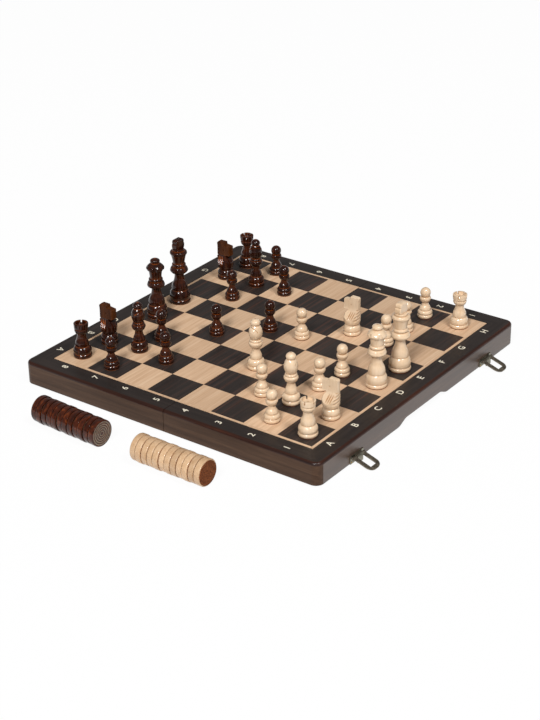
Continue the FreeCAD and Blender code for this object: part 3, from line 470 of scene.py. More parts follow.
def foot_outline(base, top, crease):
    """Felt pad, disc, groove and swollen foot, which rounds over into a crease at its top."""
    groove, swell, wide = DISC_TOP + GROOVE, DISC_TOP + 0.4 * (top - DISC_TOP), base - 0.3
    return [(base - 0.7, 0), (base - 0.7, FELT), (base - 0.5, FELT), (base - 0.5, DISC_TOP, 0.5),
            (base - 1.0, groove), (wide, swell, upright_bulge(0.7, swell - groove)),
            (crease, top, upright_bulge(wide - crease, top - swell))]


def stem_outline(base, foot, stem, neck, neck_height, collar, collar_height, thickness=COLLAR):
    """Foot, bell-shaped stem, whose curve turns over below its middle, and collar with a bowl-shaped
    underside."""
    lip = foot + 1.2
    rise = neck_height - lip
    rim = collar - 0.6
    return foot_outline(base, foot, stem - 0.35) + [
        (stem, lip, 0.2), ((stem + neck) / 2, lip + 0.42 * rise, 0.03 * rise),
        (neck, neck_height, -0.042 * rise),
        (rim, collar_height - thickness / 2, 0.5), (rim, collar_height + thickness / 2, 0.6)]


def bead_outline(man):
    """The bead on the bishop's collar."""
    radius, foot = 0.8 * man["collar"], man["collar_height"] + COLLAR / 2 + GROOVE
    return [(radius, foot), (radius - 0.2, foot + 2.2, 0.4)]


def crown_outline(man, flare, rim, middle):
    """The collar's sloping shoulder, ring and flared crown of the king and the queen."""
    shoulder = man["collar_height"] + COLLAR / 2 + 2.2
    ring = shoulder + GROOVE
    return [(7.9, shoulder, 0.4), (6.6, ring), (6.6, ring + 3.8, 1.3), (6.6, ring + 3.8 + GROOVE),
            (flare, middle - 1.9 - GROOVE, -0.2), (rim - 0.8, middle - 1.9), (rim - 0.8, middle + 1.9, 0.8)]


def button_outline(radius, foot, cap, top):
    """A flattened button, from its foot to its domed cap on the axis."""
    edge = 0.8 * radius
    return [(edge, foot), (edge, top - cap, radius - edge), (0, top, dome_bulge(edge, cap))]


print("a king's stem has", len(stem_outline(**KING)), "corners")

# %% [markdown]
# ## Cutting the heads
# After turning, some heads are cut with a saw or a file. A cut is a rule on the points: those in the nicks
# of the queen's rim go in to the file's round, those between the rook's teeth come down to the cut's floor,
# and those in the bishop's slit go in to its axis. The king's cross is a block of its own, an outline drawn
# in towards its middle on both faces.

# %% Heads of the king, queen, bishop, rook and pawn
def king_points():
    """The turned king, and its cross: outline points p(t) scaled by k(s) at depth d(s), with the top
    rounded over from front to back."""
    cap, top, wide, deep = 65.3, 77.17, 6.9, 3.7
    root, notch, ease = cap - 1.0, 72.0, deep / 2
    line = outline(stem_outline(**KING) + crown_outline(KING, 8.6, 9.8, 60.6)
                   + [(6.4, cap - 2.2), (6.4, cap, 0.4)])
    side = np.concatenate([arc((4.2, root), (wide, cap + 3.2), upright_bulge(wide - 4.2, 4.2), 0.3),
                           arc((wide, notch - 1.1), (wide - 1.1, notch), 0, 0.3),
                           arc((wide - 1.1, notch), (6.15, notch + 1.1), 0, 0.3)[1:],
                           arc((6.15, top - 3.0), (3.15, top), upright_bulge(3.0, 3.0), 0.3)])
    rim = np.concatenate([side, side[::-1] * [-1, 1]])
    middle = np.array([0, (cap + top) / 2])
    k = np.array([0.0, 0.5, 0.86, 0.955, 0.99, 1.0, 1.0, 1.0, 1.0, 0.99, 0.955, 0.86, 0.5, 0.0])
    d = np.array([-1.0, -1.0, -1.0, -0.97, -0.88, -0.72, -0.4, 0.4, 0.72, 0.88, 0.97, 1.0, 1.0, 1.0]) * deep
    flat = middle + (rim - middle)[None] * k[:, None, None]
    over = np.clip((np.abs(d) - ease) / (deep - ease), 0, 1)[:, None]
    height = np.minimum(flat[..., 1], top - ease + ease * np.sqrt(1 - over**2))
    cross = np.stack([flat[..., 0], np.broadcast_to(d[:, None], height.shape), height], -1)
    return line, [spin(line, ROUND), cross]


def queen_points():
    """The turned queen with nicks filed down the crown's rim: within a nick, a point's distance from the
    axis is no more than R cos a - sqrt(c^2 - (R sin a)^2), the near side of a file of radius c at distance
    R."""
    rim, brim, button, top = 10.1, 58.6, 5.5, 69.9
    dome = brim + 5.9
    line = outline(stem_outline(**QUEEN) + crown_outline(QUEEN, 7.7, rim, brim) + [(0.8 * button, dome, 0.4)]
                   + button_outline(button, dome + 0.3, 1.3, top), 0.45)
    angles = np.linspace(0, 2 * np.pi, 208, endpoint=False)
    points = spin(line, angles)
    file, away, pitch = 2.4, rim + 0.6, 2 * np.pi / 5
    off = np.mod(angles, pitch) - pitch / 2
    near = away * np.cos(off) - np.sqrt(np.clip(file**2 - (away * np.sin(off)) ** 2, 0, None))
    radius = np.hypot(points[..., 0], points[..., 1])
    height = points[..., 2]
    cut = (np.abs(away * np.sin(off)) < file) & (radius > near) & (height > brim - 3.8) & (height < dome)
    points[..., :2] *= np.where(cut, near / np.maximum(radius, 1e-6), 1)[..., None]
    return line, [points]


def bishop_points():
    """The turned bishop with a slanting slit: points within the cut, which has y > 0, move in to y = 0."""
    belly, foot, top, height = 7.3, 34.8, 49.8, 57.2
    low, high, slit = 5.2, 4.5, 44.2
    bead = bead_outline(BISHOP)
    line = outline(stem_outline(**BISHOP) + bead + [
        (low, bead[-1][1] + GROOVE / 2), (low, foot), (high, top, belly - (low + high) / 2)]
        + button_outline(5.2, top + GROOVE, 2.0, height), 0.4)
    points = spin(line, FINE_ROUND)
    tilt = np.radians(38.0)
    off = (points[..., 2] - slit) * np.cos(tilt) - points[..., 1] * np.sin(tilt)
    keep = np.clip((np.abs(off) - 0.42) / 0.22, 0, 1)
    cut = (points[..., 1] > 0) & (points[..., 2] > foot - 1) & (points[..., 2] < height - 2)
    points[..., 1] = np.where(cut, points[..., 1] * keep, points[..., 1])
    # The slit's value goes to the wood's hollow colour: painted shade in the slit of the pale bishops, an
    # orange tone in the dark ones.
    return line, [points], [np.maximum(hollows(line)[:, None], np.where(cut, 1 - keep, 0))]


def rook_points():
    """The turned rook with slots sawn in its rim: z = min(z, floor of the slot) within half a slot's
    width."""
    head, base, top = 7.9, 33.7, 39.4
    rim, floor = head - 2.0, top - 2.6
    line = outline(stem_outline(**ROOK, thickness=DEEP_COLLAR) + [
        (head - 2 * GROOVE, base - GROOVE), (head - GROOVE / 2, base), (head, top - GROOVE),
        (head - GROOVE, top, 0.15), (rim, top), (rim - GROOVE, floor)], 0.5)
    slots = 2 * np.pi * np.arange(5) / 5
    half = 0.75 / 7.0
    edges = (slots[:, None] + np.array([-half - 0.012, -half, half, half + 0.012])).ravel()
    angles = np.sort(np.mod(np.concatenate([ROUND, edges]), 2 * np.pi))
    points = spin(line, angles)
    off = np.abs(np.mod(angles + np.pi / 5, 2 * np.pi / 5) - np.pi / 5)
    inside = (off <= half + 1e-6) & (np.hypot(points[..., 0], points[..., 1]) > rim - GROOVE - 1e-6)
    points[..., 2] = np.where(inside & (points[..., 2] > top - 3.3), top - 3.3, points[..., 2])
    return line, [points]


def pawn_points():
    """The turned pawn: a ball on the collar."""
    ball, foot, top = 5.85, 3.7, 35.5
    start = top - ball - np.sqrt(ball**2 - foot**2)
    line = outline(stem_outline(**PAWN, thickness=DEEP_COLLAR)
                   + [(foot, start), (0, top, dome_bulge(foot, top - start))])
    return line, [spin(line, ROUND)]


print("a pawn has", pawn_points()[1][0].shape, "points")

# %% [markdown]
# ## The knight
# A knight is turned like the other men, sawn to a side outline and then thinned by a saw on both sides. So
# its head is a stack of rings: each one runs from a point on the chest, muzzle or brow to one on the mane,
# is as round as the turned blank, and is cut off flat where the saw went. The flats spread out smoothly
# below the jaw and run out on the shoulder. The carver's gouge then leaves long hollows on the shoulder and
# short cuts down the mane.

# %% The knight's head
def sawn_rings(round_width, flat_width, flat_steps=49, arc_steps=21):
    """Points (c, s) of rings with the half width round_width before the cut and flat_width after it: the
    flats at c = 1 and -1 end where the circle reaches them, at the angle acos(flat / round), and arcs join
    them."""
    corner = np.arccos(np.clip(flat_width / round_width, 0, 0.9995))[:, None]
    flat = np.linspace(-1, 1, flat_steps) * np.sin(corner)
    bend = corner + (np.pi - 2 * corner) * np.linspace(0, 1, arc_steps + 2)[1:-1]
    scale = (round_width / np.minimum(flat_width, round_width))[:, None]
    right, over = (np.ones_like(flat), flat), (np.cos(bend) * scale, np.sin(bend))
    c = np.concatenate([right[0], over[0], -right[0], -over[0]], 1)
    s = np.concatenate([right[1], over[1], -right[1], -over[1]], 1)
    return c, s


def knight_points(depth):
    """Foot turned; head of rings (b c, m + h s, z + d s), with half width b, middle m, half length h and
    tilt d. The saw's half width grows below the jaw as w + k ln(1 + exp((z0 - z) / e)), a straight cut with
    an eased start."""
    base, foot, neck = 9.6, 11.8, 7.0
    line = outline(foot_outline(base, foot, neck) + [(neck, foot + GROOVE)])
    front = np.array([(6.8, 12.2), (8.6, 14.0), (9.2, 16.4), (9.35, 20.4), (9.0, 22.0), (7.6, 24.6),
                      (5.9, 26.9), (4.3, 28.6), (3.2, 29.7), (3.3, 29.85), (9.0, 29.85), (9.35, 30.2),
                      (9.35, 40.6), (8.9, 41.25), (1.7, 41.95), (1.3, 42.2), (0.8, 44.9), (0.5, 45.2),
                      (-4.2, 45.2)])
    back = np.array([(-6.8, 12.2), (-8.6, 14.0), (-9.2, 16.4), (-9.35, 20.4), (-9.35, 22.4), (-9.35, 24.6),
                     (-9.35, 27.0), (-9.35, 28.8), (-9.35, 29.9), (-9.35, 30.0), (-9.35, 30.9), (-9.35, 31.5),
                     (-9.35, 39.4), (-9.35, 40.8), (-9.35, 42.1), (-9.35, 42.4), (-9.3, 43.9), (-8.0, 45.1),
                     (-4.4, 45.2)])
    knots = np.concatenate([[0], np.cumsum(np.hypot(*np.diff(front, axis=0).T))])
    t = np.sort(np.concatenate([np.arange(0, knots[-1], 0.45), knots]))
    f, b = (np.stack([np.interp(t, knots, side[:, k]) for k in (0, 1)], -1) for side in (front, back))
    height = (f[:, 1] + b[:, 1]) / 2
    blank = np.interp(height, [12.2, 14.0, 16.4, 20.4], [6.8, 8.6, 9.2, 9.35])
    sawn = depth / 2 + (11.0 - depth / 2) / 13.3 * 1.5 * np.log1p(np.exp((29.2 - height) / 1.5))
    sawn = sawn * np.interp(t, knots[-4:], [1.0, 0.98, 0.88, 0.02])
    c, s = sawn_rings(blank, sawn)
    middle, half = (f + b) / 2, (f - b) / 2
    wide = np.minimum(blank, sawn)[:, None]
    head = np.stack([wide * c, middle[:, :1] + half[:, :1] * s, middle[:, 1:] + half[:, 1:] * s], -1)
    y, z = head[..., 1].copy(), head[..., 2].copy()
    leaf = np.zeros_like(y)
    for place in (-4.4, -2.0, 0.4):
        along, across = (y - place) * 0.26 - (z - 23.4) * 0.966, (y - place) * 0.966 + (z - 23.4) * 0.26
        leaf += 0.7 * np.clip(1 - (along / 5.6) ** 2, 0, 1) * np.exp(-(across / 0.65) ** 2)
    eye = 0.55 * np.exp(-((y - 0.2) ** 2 + (z - 35.6) ** 2) / 0.45)
    on_side = np.abs(c) > 0.5
    head[..., 0] -= np.sign(c) * (leaf + eye) * on_side
    rear = np.clip((-0.6 - s) / 0.25, 0, 1) * (z > 16.5) * (z < 31)
    cuts = np.exp(-((np.mod(z - 0.3 * head[..., 0], 3.7) - 1.85) / 0.75) ** 2) * rear
    head[..., 1] += 0.9 * cuts
    head[..., 0] -= 0.4 * np.sign(c) * cuts * on_side
    # carved sends the gouges, eye and mane cuts to the wood's hollow colour: painted shade on the pale knights
    # and on the dark knights' heads above the jaw, an orange tone lower on the dark knights.
    carved = np.clip((leaf + eye) * on_side / 0.7 + 0.6 * cuts, 0, 1)
    return line, [spin(line, ROUND), head], [np.repeat(hollows(line)[:, None], len(ROUND), 1), carved]


print("a knight's head has", knight_points(4.8)[1][1].shape, "points")

# %% [markdown]
# ## Setting the men out
# Each man stands where the game has it: a square, a small offset from the square's middle, and a turn. The
# knights look ahead along the files. Every man is one object that takes the place of its solid and rides on
# that man's own body, so that it can be lifted.

# %% Men on the board
WHITE_MEN = [("rook", "a1", -3.6, -4.4, -26), ("knight", "b1", -3.1, -2.9, 0), ("queen", "d1", -2.7, -3.0, -18),
             ("king", "e1", 0.9, -3.0, 0), ("rook", "h1", -0.1, -2.2, -17), ("pawn", "a2", -1.2, -0.2, 0),
             ("bishop", "b2", -0.8, 6.0, -110), ("pawn", "c2", -1.1, -0.6, 0), ("pawn", "d2", -3.2, -2.1, 0),
             ("pawn", "f2", -0.3, -1.3, 0), ("pawn", "g2", -0.9, -0.9, 0), ("pawn", "h2", -0.4, 0.1, 0),
             ("pawn", "b3", -3.6, -0.7, 0), ("knight", "f3", 0.7, 1.9, 0), ("bishop", "c4", -0.6, -1.7, 55),
             ("pawn", "e4", 2.2, -0.3, 0)]
BLACK_MEN = [("rook", "a8", -1.3, 2.4, 0), ("knight", "b8", -1.4, 0.1, 0), ("queen", "d8", -2.6, 0.1, 0),
             ("king", "e8", 0.1, 2.6, 0), ("knight", "g8", -1.1, -0.7, 0), ("rook", "h8", -0.7, -0.9, 30),
             ("pawn", "a7", -4.6, -0.2, 0), ("bishop", "b7", 2.2, 1.9, 10), ("pawn", "c7", -4.9, -1.3, 0),
             ("pawn", "f7", -2.6, -1.4, 0), ("bishop", "g7", 2.5, -1.1, -50), ("pawn", "h7", 0.1, -1.7, 0),
             ("pawn", "b6", -3.0, 2.3, 0), ("pawn", "d6", -1.4, -0.7, 0), ("pawn", "g6", 0.3, -1.4, 0),
             ("pawn", "e5", -1.4, -1.6, 0)]
SHAPES = {"king": king_points(), "queen": queen_points(), "bishop": bishop_points(), "rook": rook_points(),
          "pawn": pawn_points(), "white_knight": knight_points(4.8), "black_knight": knight_points(7.4)}


JAW = 29.5
MAN_CLEARANCE = 0.02


def turned_about(points, degrees):
    """Points turned about Z."""
    a = np.radians(degrees)
    turn = np.array([[np.cos(a), -np.sin(a), 0], [np.sin(a), np.cos(a), 0], [0, 0, 1]])
    return points @ turn.T


def set_man(side, kind, square, dx, dy, turn, wood, carved_wood, slot):
    """One man: felt below the pad's height, wood above, and a duller wood above a knight's jaw."""
    line, grids, *carved = SHAPES[side + "_knight" if kind == "knight" else kind]
    place = square_centre(square) + [dx, dy, MAN_CLEARANCE]
    pad = (line[:-1, 1] < FELT - 0.01) & (line[1:, 1] < FELT + 0.01)
    # Each man's hollow values are high in its grooves and cuts: on pale wood their colour is painted shade, on
    # dark turned wood an orange tone.
    depths = np.repeat(hollows(line)[:, None], grids[0].shape[1], 1)
    marks = carved[0] if carved else [depths] + [np.zeros(g.shape[:2]) for g in grids[1:]]
    numbers = [pad[:, None].astype(int)] + [2 * (g[:-1, :1, 2] > JAW) * (kind == "knight") for g in grids[1:]]
    name = f"{side}_{kind}_{square}"
    shapes = [(turned_about(g, turn) + place, n) for g, n in zip(grids, numbers)]
    finishes = [wood, base_felt, carved_wood]
    return piece("turned_" + name, shapes, finishes, "man_" + name, [name], values=marks)


men = [set_man("white", *man, light_wood, light_carved_wood, "light_men") for man in WHITE_MEN]
men += [set_man("black", *man[:4], man[4] + 180, dark_wood, dark_carved_wood, "dark_men") for man in BLACK_MEN]
print(len(men), "men,", sum(len(m.data.polygons) for m in men), "faces")

# %% [markdown]
# ## Checkers
# A checker is a turned disc with ring grooves in one face and felt on the other. Twelve of each colour
# stand on edge in a row on the table, a little out of line. A row is one object: the same grid, shifted
# twelve times.

# %% Two rows of checkers
CHECKER_RADIUS = 14.3
CHECKER_THICKNESS = 7.2
CHECKER_GAP = 0.1
CHECKER_COUNT = 12
RINGS = (12.0, 9.6, 7.2, 4.8, 2.4)
ROW_X = -FACE - 55.0
FLOOR = -1.3


def checker_outline():
    """Felt face set in from the rim, rim with rounded edges, and ring grooves of a rounded V."""
    rim, top = CHECKER_RADIUS - 0.8, CHECKER_THICKNESS
    corners = [(CHECKER_RADIUS - 1.5, 0), (CHECKER_RADIUS - 1.5, FELT), (CHECKER_RADIUS - 0.8, FELT),
               (CHECKER_RADIUS, FELT + 0.8, 0.23), (CHECKER_RADIUS, top - 0.8), (rim, top, 0.23)]
    for ring in RINGS:
        corners += [(ring + 0.8, top), (ring + 0.4, top - 0.35), (ring - 0.4, top - 0.35), (ring - 0.8, top)]
    return outline(corners, 0.8)


def ring_marks(line):
    """The rings on a checker's face: 1 within 0.3 mm of a ring's middle, falling to 0 at 0.7 mm. On the pale
    discs they are painted shade in the grooves, on the russet discs pale rings.
    """
    off = np.abs(line[:, :1] - np.array(RINGS)).min(1)
    on_face = (line[:, 1] > CHECKER_THICKNESS - 0.5) & (line[:, 0] < RINGS[0] + 1)
    return np.clip((0.7 - off) / 0.4, 0, 1) * on_face


def checker_row(name, first_y, turn, tip, wood, body, slot):
    """Discs whose axis is turned to Y: (x, y, z) becomes (x, -z, y) or (x, z, -y). Each is rolled by its
    own angle, so that the grain of neighbours differs, and shifted, and the row is turned about its near
    end."""
    line = checker_outline()
    disc = spin(line, FINE_ROUND)
    pad = (line[:-1, 1] < FELT - 0.01) & (line[1:, 1] < FELT + 0.01)
    near_end = np.array([ROW_X, first_y, FLOOR + CHECKER_RADIUS])
    shapes, marks = [], []
    for index in range(CHECKER_COUNT):
        x, y, z = np.moveaxis(turned_about(disc, 47 * index), -1, 0)
        laid = np.stack([x, -z, y], -1) if tip > 0 else np.stack([x, z - CHECKER_THICKNESS, -y], -1)
        along = CHECKER_THICKNESS + index * (CHECKER_THICKNESS + CHECKER_GAP)
        laid = laid + [0.5 * np.sin(2.4 * index), along, 0]
        shapes.append((turned_about(laid, -turn) + near_end, pad[:, None].astype(int)))
        marks.append(np.repeat(ring_marks(line)[:, None], len(FINE_ROUND), 1))
    return piece(name, shapes, [wood, base_felt], body, [slot], values=marks)


rows = [checker_row("dark_checker_row", 33.7, 2.3, 1, dark_disc_wood,
                    "row_of_dark_checkers", "dark_checkers"),
        checker_row("light_checker_row", -100.4, 0.5, -1, light_disc_wood,
                    "row_of_light_checkers", "light_checkers")]
print("checker rows:", [len(r.data.polygons) for r in rows], "faces")

# %% [markdown]
# ## The case
# Each half is a shallow tray: a wall round three sides, mitred at the corners, and a panel with a rounded
# lip on top. Both are profiles carried along the same path, which runs round the half from the seam to the
# seam. At a distance d inside the outer face the path keeps the corner's centre until the radius is used
# up, so the outer corners are round and the inner ones square.

# %% A path round one half
def half_path(d, corner_steps=15, run_steps=2):
    """Points (path, profile, 2) round the front half for profile distances d inside the outer face:
    straight run, quarter circle, straight run, quarter circle, straight run."""
    inset = np.maximum(CORNER_RADIUS, d)
    radius = np.maximum(CORNER_RADIUS - d, 0)
    corner = FACE - inset
    t = np.linspace(0, 1, run_steps)[:, None]
    left = np.stack([np.broadcast_to(-(FACE - d), (run_steps, len(d))), -SEAM - (corner - SEAM) * t], -1)
    angle = np.linspace(0, np.pi / 2, corner_steps)[1:, None]
    bend = np.stack([-corner - radius * np.cos(angle), -corner - radius * np.sin(angle)], -1)
    return left, bend, corner


def half_frame(profile, low_edge=None):
    """Carries a profile of (distance inside the outer face, height) round the front half. low_edge(x) lifts
    the lower edge of the front run."""
    d, z = profile.T
    left, bend, corner = half_path(d)
    x = np.linspace(-1, 1, 241)[1:-1, None]
    front = np.stack([x * corner, np.broadcast_to(-(FACE - d), (len(x), len(d)))], -1)
    right = np.concatenate([left, bend])[::-1] * [-1, 1]
    path = np.concatenate([left, bend, front, right])
    height = np.broadcast_to(z, path.shape[:2]).copy()
    if low_edge is not None:
        lift = np.where(path[..., 1] < -(FACE - WALL - 0.5), low_edge(path[..., 0]), 0)
        height = height + lift * (1 - z / PANEL_BOTTOM)
    return np.concatenate([path, height[..., None]], -1)


def notch_height(x):
    """Lower edge of the end wall: a flat grip in the middle with an eased ramp at each end, 3t^2 - 2t^3."""
    t = np.clip((48.5 - np.abs(x)) / 17.0, 0, 1)
    return 5.3 * t * t * (3 - 2 * t)


wall_profile = np.concatenate([arc((0, PANEL_BOTTOM), (0, 0.8), 0, 4), arc((0, 0.8), (0.8, 0), 0.23, 0.3),
                               [(WALL - 0.4, 0), (WALL, 0.4), (WALL, PANEL_BOTTOM)]])
lip_profile = np.concatenate([[(22.0, PANEL_BOTTOM), (22.0, BOARD_HEIGHT)],
                              arc((PANEL_ROUND, BOARD_HEIGHT), (0, BOARD_HEIGHT - PANEL_ROUND), 0.85, 0.4),
                              [(0, PANEL_BOTTOM)]])
MITRE = 8
WALL_TURN = 14
print("wall profile", wall_profile.shape, "lip profile", lip_profile.shape)

# %% [markdown]
# ## Walls and panels
# The walls of one half share the path, so each is a stretch of it, and the side walls' veneer is bent round
# the corners. The panel is the lip's profile on the whole path, mitred in the middle of the corners, where
# the grain changes direction, with a plate in its middle under the steel and the veneer. The rear half is
# the front half turned round.

# %% Walls and panels of both halves
def slab(x0, x1, y0, y1, z0, z1):
    """A plate: its four corners in X and Z, carried along Y."""
    corners = np.array([(x0, z0), (x1, z0), (x1, z1), (x0, z1)])
    return np.stack([np.stack([corners[:, 0], np.full(4, y), corners[:, 1]], -1) for y in (y0, y1)])


def build_case(side, turn):
    """Walls and panel of one half; turn is 1 for the front and -1 for the rear half."""
    about = np.array([turn, turn, 1])
    frame_walls = half_frame(wall_profile, notch_height) * about
    lip = half_frame(lip_profile) * about
    body, last = side + "_half", len(frame_walls)
    end_run = [(frame_walls[WALL_TURN:last - WALL_TURN], 0)]
    side_runs = [(frame_walls[:WALL_TURN + 1], 0), (frame_walls[last - WALL_TURN - 1:], 0)]
    end = piece(side + "_end_rail", end_run, [wall_end_wood], body, [side + "_end_wall"], sharp=30)
    sides = piece(side + "_side_rails", side_runs, [wall_side_wood], body, [side + "_side_walls"],
                  sharp=30)
    row = np.arange(last - 1)
    along_side = ((row < MITRE) | (row >= last - 1 - MITRE)).astype(int)[:, None]
    column = np.arange(len(lip_profile))
    rounded = (column >= 2) & (column < len(lip_profile) - 1)
    reach = FIELD / 2 + LINE_WIDTH
    plate = slab(-reach, reach, -reach, -SEAM, PANEL_BOTTOM, BOARD_HEIGHT - 1.2) * about
    border = piece(side + "_border", [(lip, along_side + 2 * rounded), (plate, 0)],
                   [border_wood, border_side_wood, lip_wood, lip_side_wood], body,
                   [side + "_top_panel"], sharp=30)
    return end, sides, border


case = build_case("front", 1) + build_case("rear", -1)
dress(["front_hinge_wall", "rear_hinge_wall"], wall_end_wood)
dress(["front_light_veneer", "rear_light_veneer"], light_veneer)
dress(["front_dark_veneer", "rear_dark_veneer"], dark_veneer)
dress(["front_steel_sheet", "rear_steel_sheet"], steel)
print("case pieces:", [c.name for c in case])

# %% [markdown]
# ## Letters and numbers
# The border names the files and ranks, so that a game can be written down. The marks are printed in cream
# and read from both players' sides. A text is made a mesh first, scaled to the height of the capitals, and
# then laid on the border a hair above the wood.

# %% Marks on the border
MARK_HEIGHT = 7.5
MARK_PLACE = 176.6


def mark_points(text):
    """Corners and faces of one printed character, its middle at the origin and its height set in
    millimetres."""
    curve = bpy.data.curves.new("mark", "FONT")
    curve.body = text
    curve.align_x = "CENTER"
    curve.offset = 0.014
    curve.resolution_u = 6
    holder = bpy.data.objects.new("mark", curve)
    mesh = bpy.data.meshes.new_from_object(holder)
    points = np.empty(len(mesh.vertices) * 3)
    mesh.vertices.foreach_get("co", points)
    points = points.reshape(-1, 3)
    faces = [tuple(p.vertices) for p in mesh.polygons]
    bpy.data.objects.remove(holder)
    bpy.data.curves.remove(curve)
    bpy.data.meshes.remove(mesh)
    low, high = points.min(0), points.max(0)
    points = (points - (low + high) / 2) * (MARK_HEIGHT / (high[1] - low[1]))
    return points, faces


def printed_marks(name, marks, body):
    """All the marks of one half as one mesh; a mark is (text, x, y, turn)."""
    points, faces = [], []
    first = 0
    for text, x, y, turn in marks:
        flat, corners = mark_points(text)
        points.append((turned_about(flat, turn) + [x, y, BOARD_HEIGHT + 0.03]) * MM)
        faces += [tuple(first + c for c in face) for face in corners]
        first += len(flat)
    mesh = bpy.data.meshes.new(name)
    mesh.from_pydata(np.concatenate(points), [], faces)
    mesh.materials.append(cream_print)
    made = bpy.data.objects.new(name, mesh)
    bpy.context.scene.collection.objects.link(made)
    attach(made, body)
    return made


def print_finish():
    """Cream print, worn a little thin by fine noise."""
    material, shader = start_finish("cream_print", 0.5)
    where = add(material, "TexCoord").outputs["Object"]
    wear = noise(material, where, 700.0, 4.0, 0.7)
    colour = ramp(material, wear, [(0.3, seen(222, 210, 184)), (0.6, seen(244, 236, 216))])
    return finish_surface(material, shader, colour, wear, 0.00002)


cream_print = print_finish()
FRONT_SLIPS = [-5.8, -2.4, -2.4, -1.6, -3.6, -1.3, -2.7, 4.6]
REAR_SLIPS = [-3.4, 4.2, 3.4, 0, 0, 0, 1.8, 0]
LEFT_SLIPS = [(-3.6, -1.9), (-2.9, 0.1), (-1.8, 0.3), (-1.6, 2.0), (0, -1.0), (0.5, 0.3), (1.4, -0.4),
              (1.0, 1.0)]
front_marks = [(t.upper(), (i - 3.5) * SQUARE + slip, 0.9 - MARK_PLACE, 0)
               for i, (t, slip) in enumerate(zip(FILES, FRONT_SLIPS))]
rear_marks = [(t.upper(), (i - 3.5) * SQUARE + slip, MARK_PLACE, 180)
              for i, (t, slip) in enumerate(zip(FILES, REAR_SLIPS))]
rank_marks = [(str(i + 1), dx - MARK_PLACE, (i - 3.5) * SQUARE + dy, 0)
              for i, (dx, dy) in enumerate(LEFT_SLIPS)]
rank_marks += [(str(i + 1), MARK_PLACE, (i - 3.5) * SQUARE, 180) for i in range(8)]
printed = [printed_marks("front_marks", front_marks + [m for m in rank_marks if m[2] < 0], "front_half"),
           printed_marks("rear_marks", rear_marks + [m for m in rank_marks if m[2] > 0], "rear_half")]
print("printed marks:", [len(p.data.polygons) for p in printed], "faces")

# %% [markdown]
# ## Tray linings, hinges and latches
# Felt lines each tray under the playing panel. It is a thin sheet with a soft, uneven face, so it is a grid
# lifted by a few slow waves. The hinges are plain brass and the latches bronze, and their solids keep their
# shapes.

# %% Linings and metalwork
def felt_sheet(side):
    """A sheet z = z0 + a sin(kx) sin(ly) under the panel."""
    low, high = (np.array(c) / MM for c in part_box(side + "_lining"))
    x, y = np.meshgrid(np.linspace(low[0], high[0], 120), np.linspace(low[1], high[1], 60), indexing="ij")
    z = low[2] + 0.12 + 0.06 * np.sin(x / 7.3 + np.sin(y / 11)) * np.sin(y / 6.1 + np.cos(x / 13))
    made = piece(side + "_felt_lining", [(np.stack([x, y, z], -1), 0)], [tray_felt], side + "_half",
                 [side + "_lining"], wrap=False)
    return made


linings = [felt_sheet("front"), felt_sheet("rear")]
dress(["front_hinge_leaves", "rear_hinge_leaves", "hinge_pins", "front_fasteners", "rear_fasteners"], brass)
dress(["left_latch_loop", "right_latch_loop"], bronze)
# The plates and hooks get the paler bronze, which is painted light.
dress(["latch_plates", "latch_hooks"], lit_bronze)
print("linings:", [l.name for l in linings])

# %% [markdown]
# ## Floor, light and camera
# The board is shown on a plain white table in soft studio light. The table is as pale as the backdrop, so
# the camera sees white with a soft shadow. Two broad lamps above the camera give the twin highlights on the
# lacquer.

# %% Floor
WHITE_SHARE = 0.95


def white_table():
    """A wide sheet that looks white to the camera and in reflections, and still takes a soft shadow."""
    material, shader = start_finish("white_table", 0.9, Specular_IOR_Level=0.0)
    shader.inputs["Base Color"].default_value = (0.9, 0.9, 0.9, 1)
    path = add(material, "LightPath").outputs
    plain = add(material, "Math", {0: path["Is Camera Ray"], 1: path["Is Glossy Ray"]}, operation="MAXIMUM")
    plain = add(material, "Math", {0: plain.outputs[0], 1: path["Is Transmission Ray"]}, operation="MAXIMUM")
    share = add(material, "Math", {0: plain.outputs[0], 1: WHITE_SHARE}, operation="MULTIPLY")
    glow = add(material, "Emission", {"Color": (1, 1, 1, 1), "Strength": 1.0})
    mixed = add(material, "MixShader", {0: share.outputs[0], 1: shader.outputs[0], 2: glow.outputs[0]})
    surface = material.node_tree.nodes["Material Output"].inputs["Surface"]
    material.node_tree.links.new(mixed.outputs[0], surface)
    x, y = np.meshgrid([-6.0, 6.0], [-6.0, 6.0], indexing="ij")
    mesh = bpy.data.meshes.new("table")
    points = np.stack([x.ravel(), y.ravel(), np.full(4, FLOOR * MM - 0.0002)], -1)
    mesh.from_pydata(points, [], [(0, 2, 3, 1)])
    mesh.materials.append(material)
    table = bpy.data.objects.new("table", mesh)
    bpy.context.scene.collection.objects.link(table)
    return table


table = white_table()
print("table at", round(FLOOR - 0.2, 2), "mm")


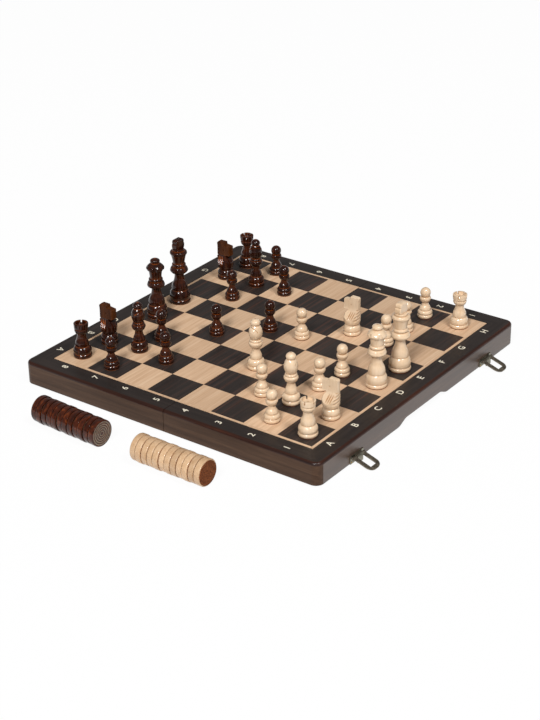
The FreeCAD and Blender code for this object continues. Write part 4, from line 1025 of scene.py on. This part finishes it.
# %% Light
def lamp(name, place, target, size, power):
    """A square area lamp at place that faces target."""
    light = bpy.data.lights.new(name, "AREA")
    light.shape = "RECTANGLE"
    light.size, light.size_y = size
    light.energy = power
    made = bpy.data.objects.new(name, light)
    made.location = place
    away = np.array(place) - np.array(target)
    made.rotation_euler = (np.arctan2(np.hypot(away[0], away[1]), away[2]), 0, np.arctan2(away[0], -away[1]))
    bpy.context.scene.collection.objects.link(made)
    return made


lamps = [lamp("left_softbox", (-5.65, -1.52, 5.46), (0, 0, 0), (1.9, 2.2), 490),
         lamp("right_softbox", (-1.12, -4.45, 6.56), (0, 0, 0), (1.8, 1.8), 305)]


ROOM_LEVEL = 0.08
GLOSS_LEVEL = 0.25


def white_room():
    """A dim room light that looks white, 1, to the camera and through clear things, and pale in gloss."""
    room = bpy.data.worlds.new("white_room")
    room.use_nodes = True
    backdrop = room.node_tree.nodes["Background"]
    backdrop.inputs["Color"].default_value = (1, 1, 1, 1)
    path = add(room, "LightPath").outputs
    gloss = add(room, "Math", {0: path["Is Glossy Ray"], 1: GLOSS_LEVEL}, operation="MULTIPLY").outputs[0]
    clear = {0: path["Is Camera Ray"], 1: path["Is Transmission Ray"]}
    plain = add(room, "Math", clear, operation="MAXIMUM").outputs[0]
    plain = add(room, "Math", {0: plain, 1: gloss}, operation="MAXIMUM").outputs[0]
    level = add(room, "Math", {0: plain, 1: ROOM_LEVEL}, operation="MAXIMUM").outputs[0]
    room.node_tree.links.new(level, backdrop.inputs["Strength"])
    return room


bpy.context.scene.world = white_room()
bpy.context.scene.view_settings.view_transform = "Standard"
print("lamps:", [l.name for l in lamps])

# %% Camera
camera_data = bpy.data.cameras.new("camera")
camera_data.lens = 86.33
camera_data.sensor_width = 36.0
camera_data.clip_end = 50
camera = bpy.data.objects.new("camera", camera_data)
camera.location = (-1.35087, -0.99358, 0.86216)
camera.rotation_euler = np.radians([62.8336, 0.7268, -53.8791])
bpy.context.scene.collection.objects.link(camera)
bpy.context.scene.camera = camera
print("camera", [round(v, 3) for v in camera.location])
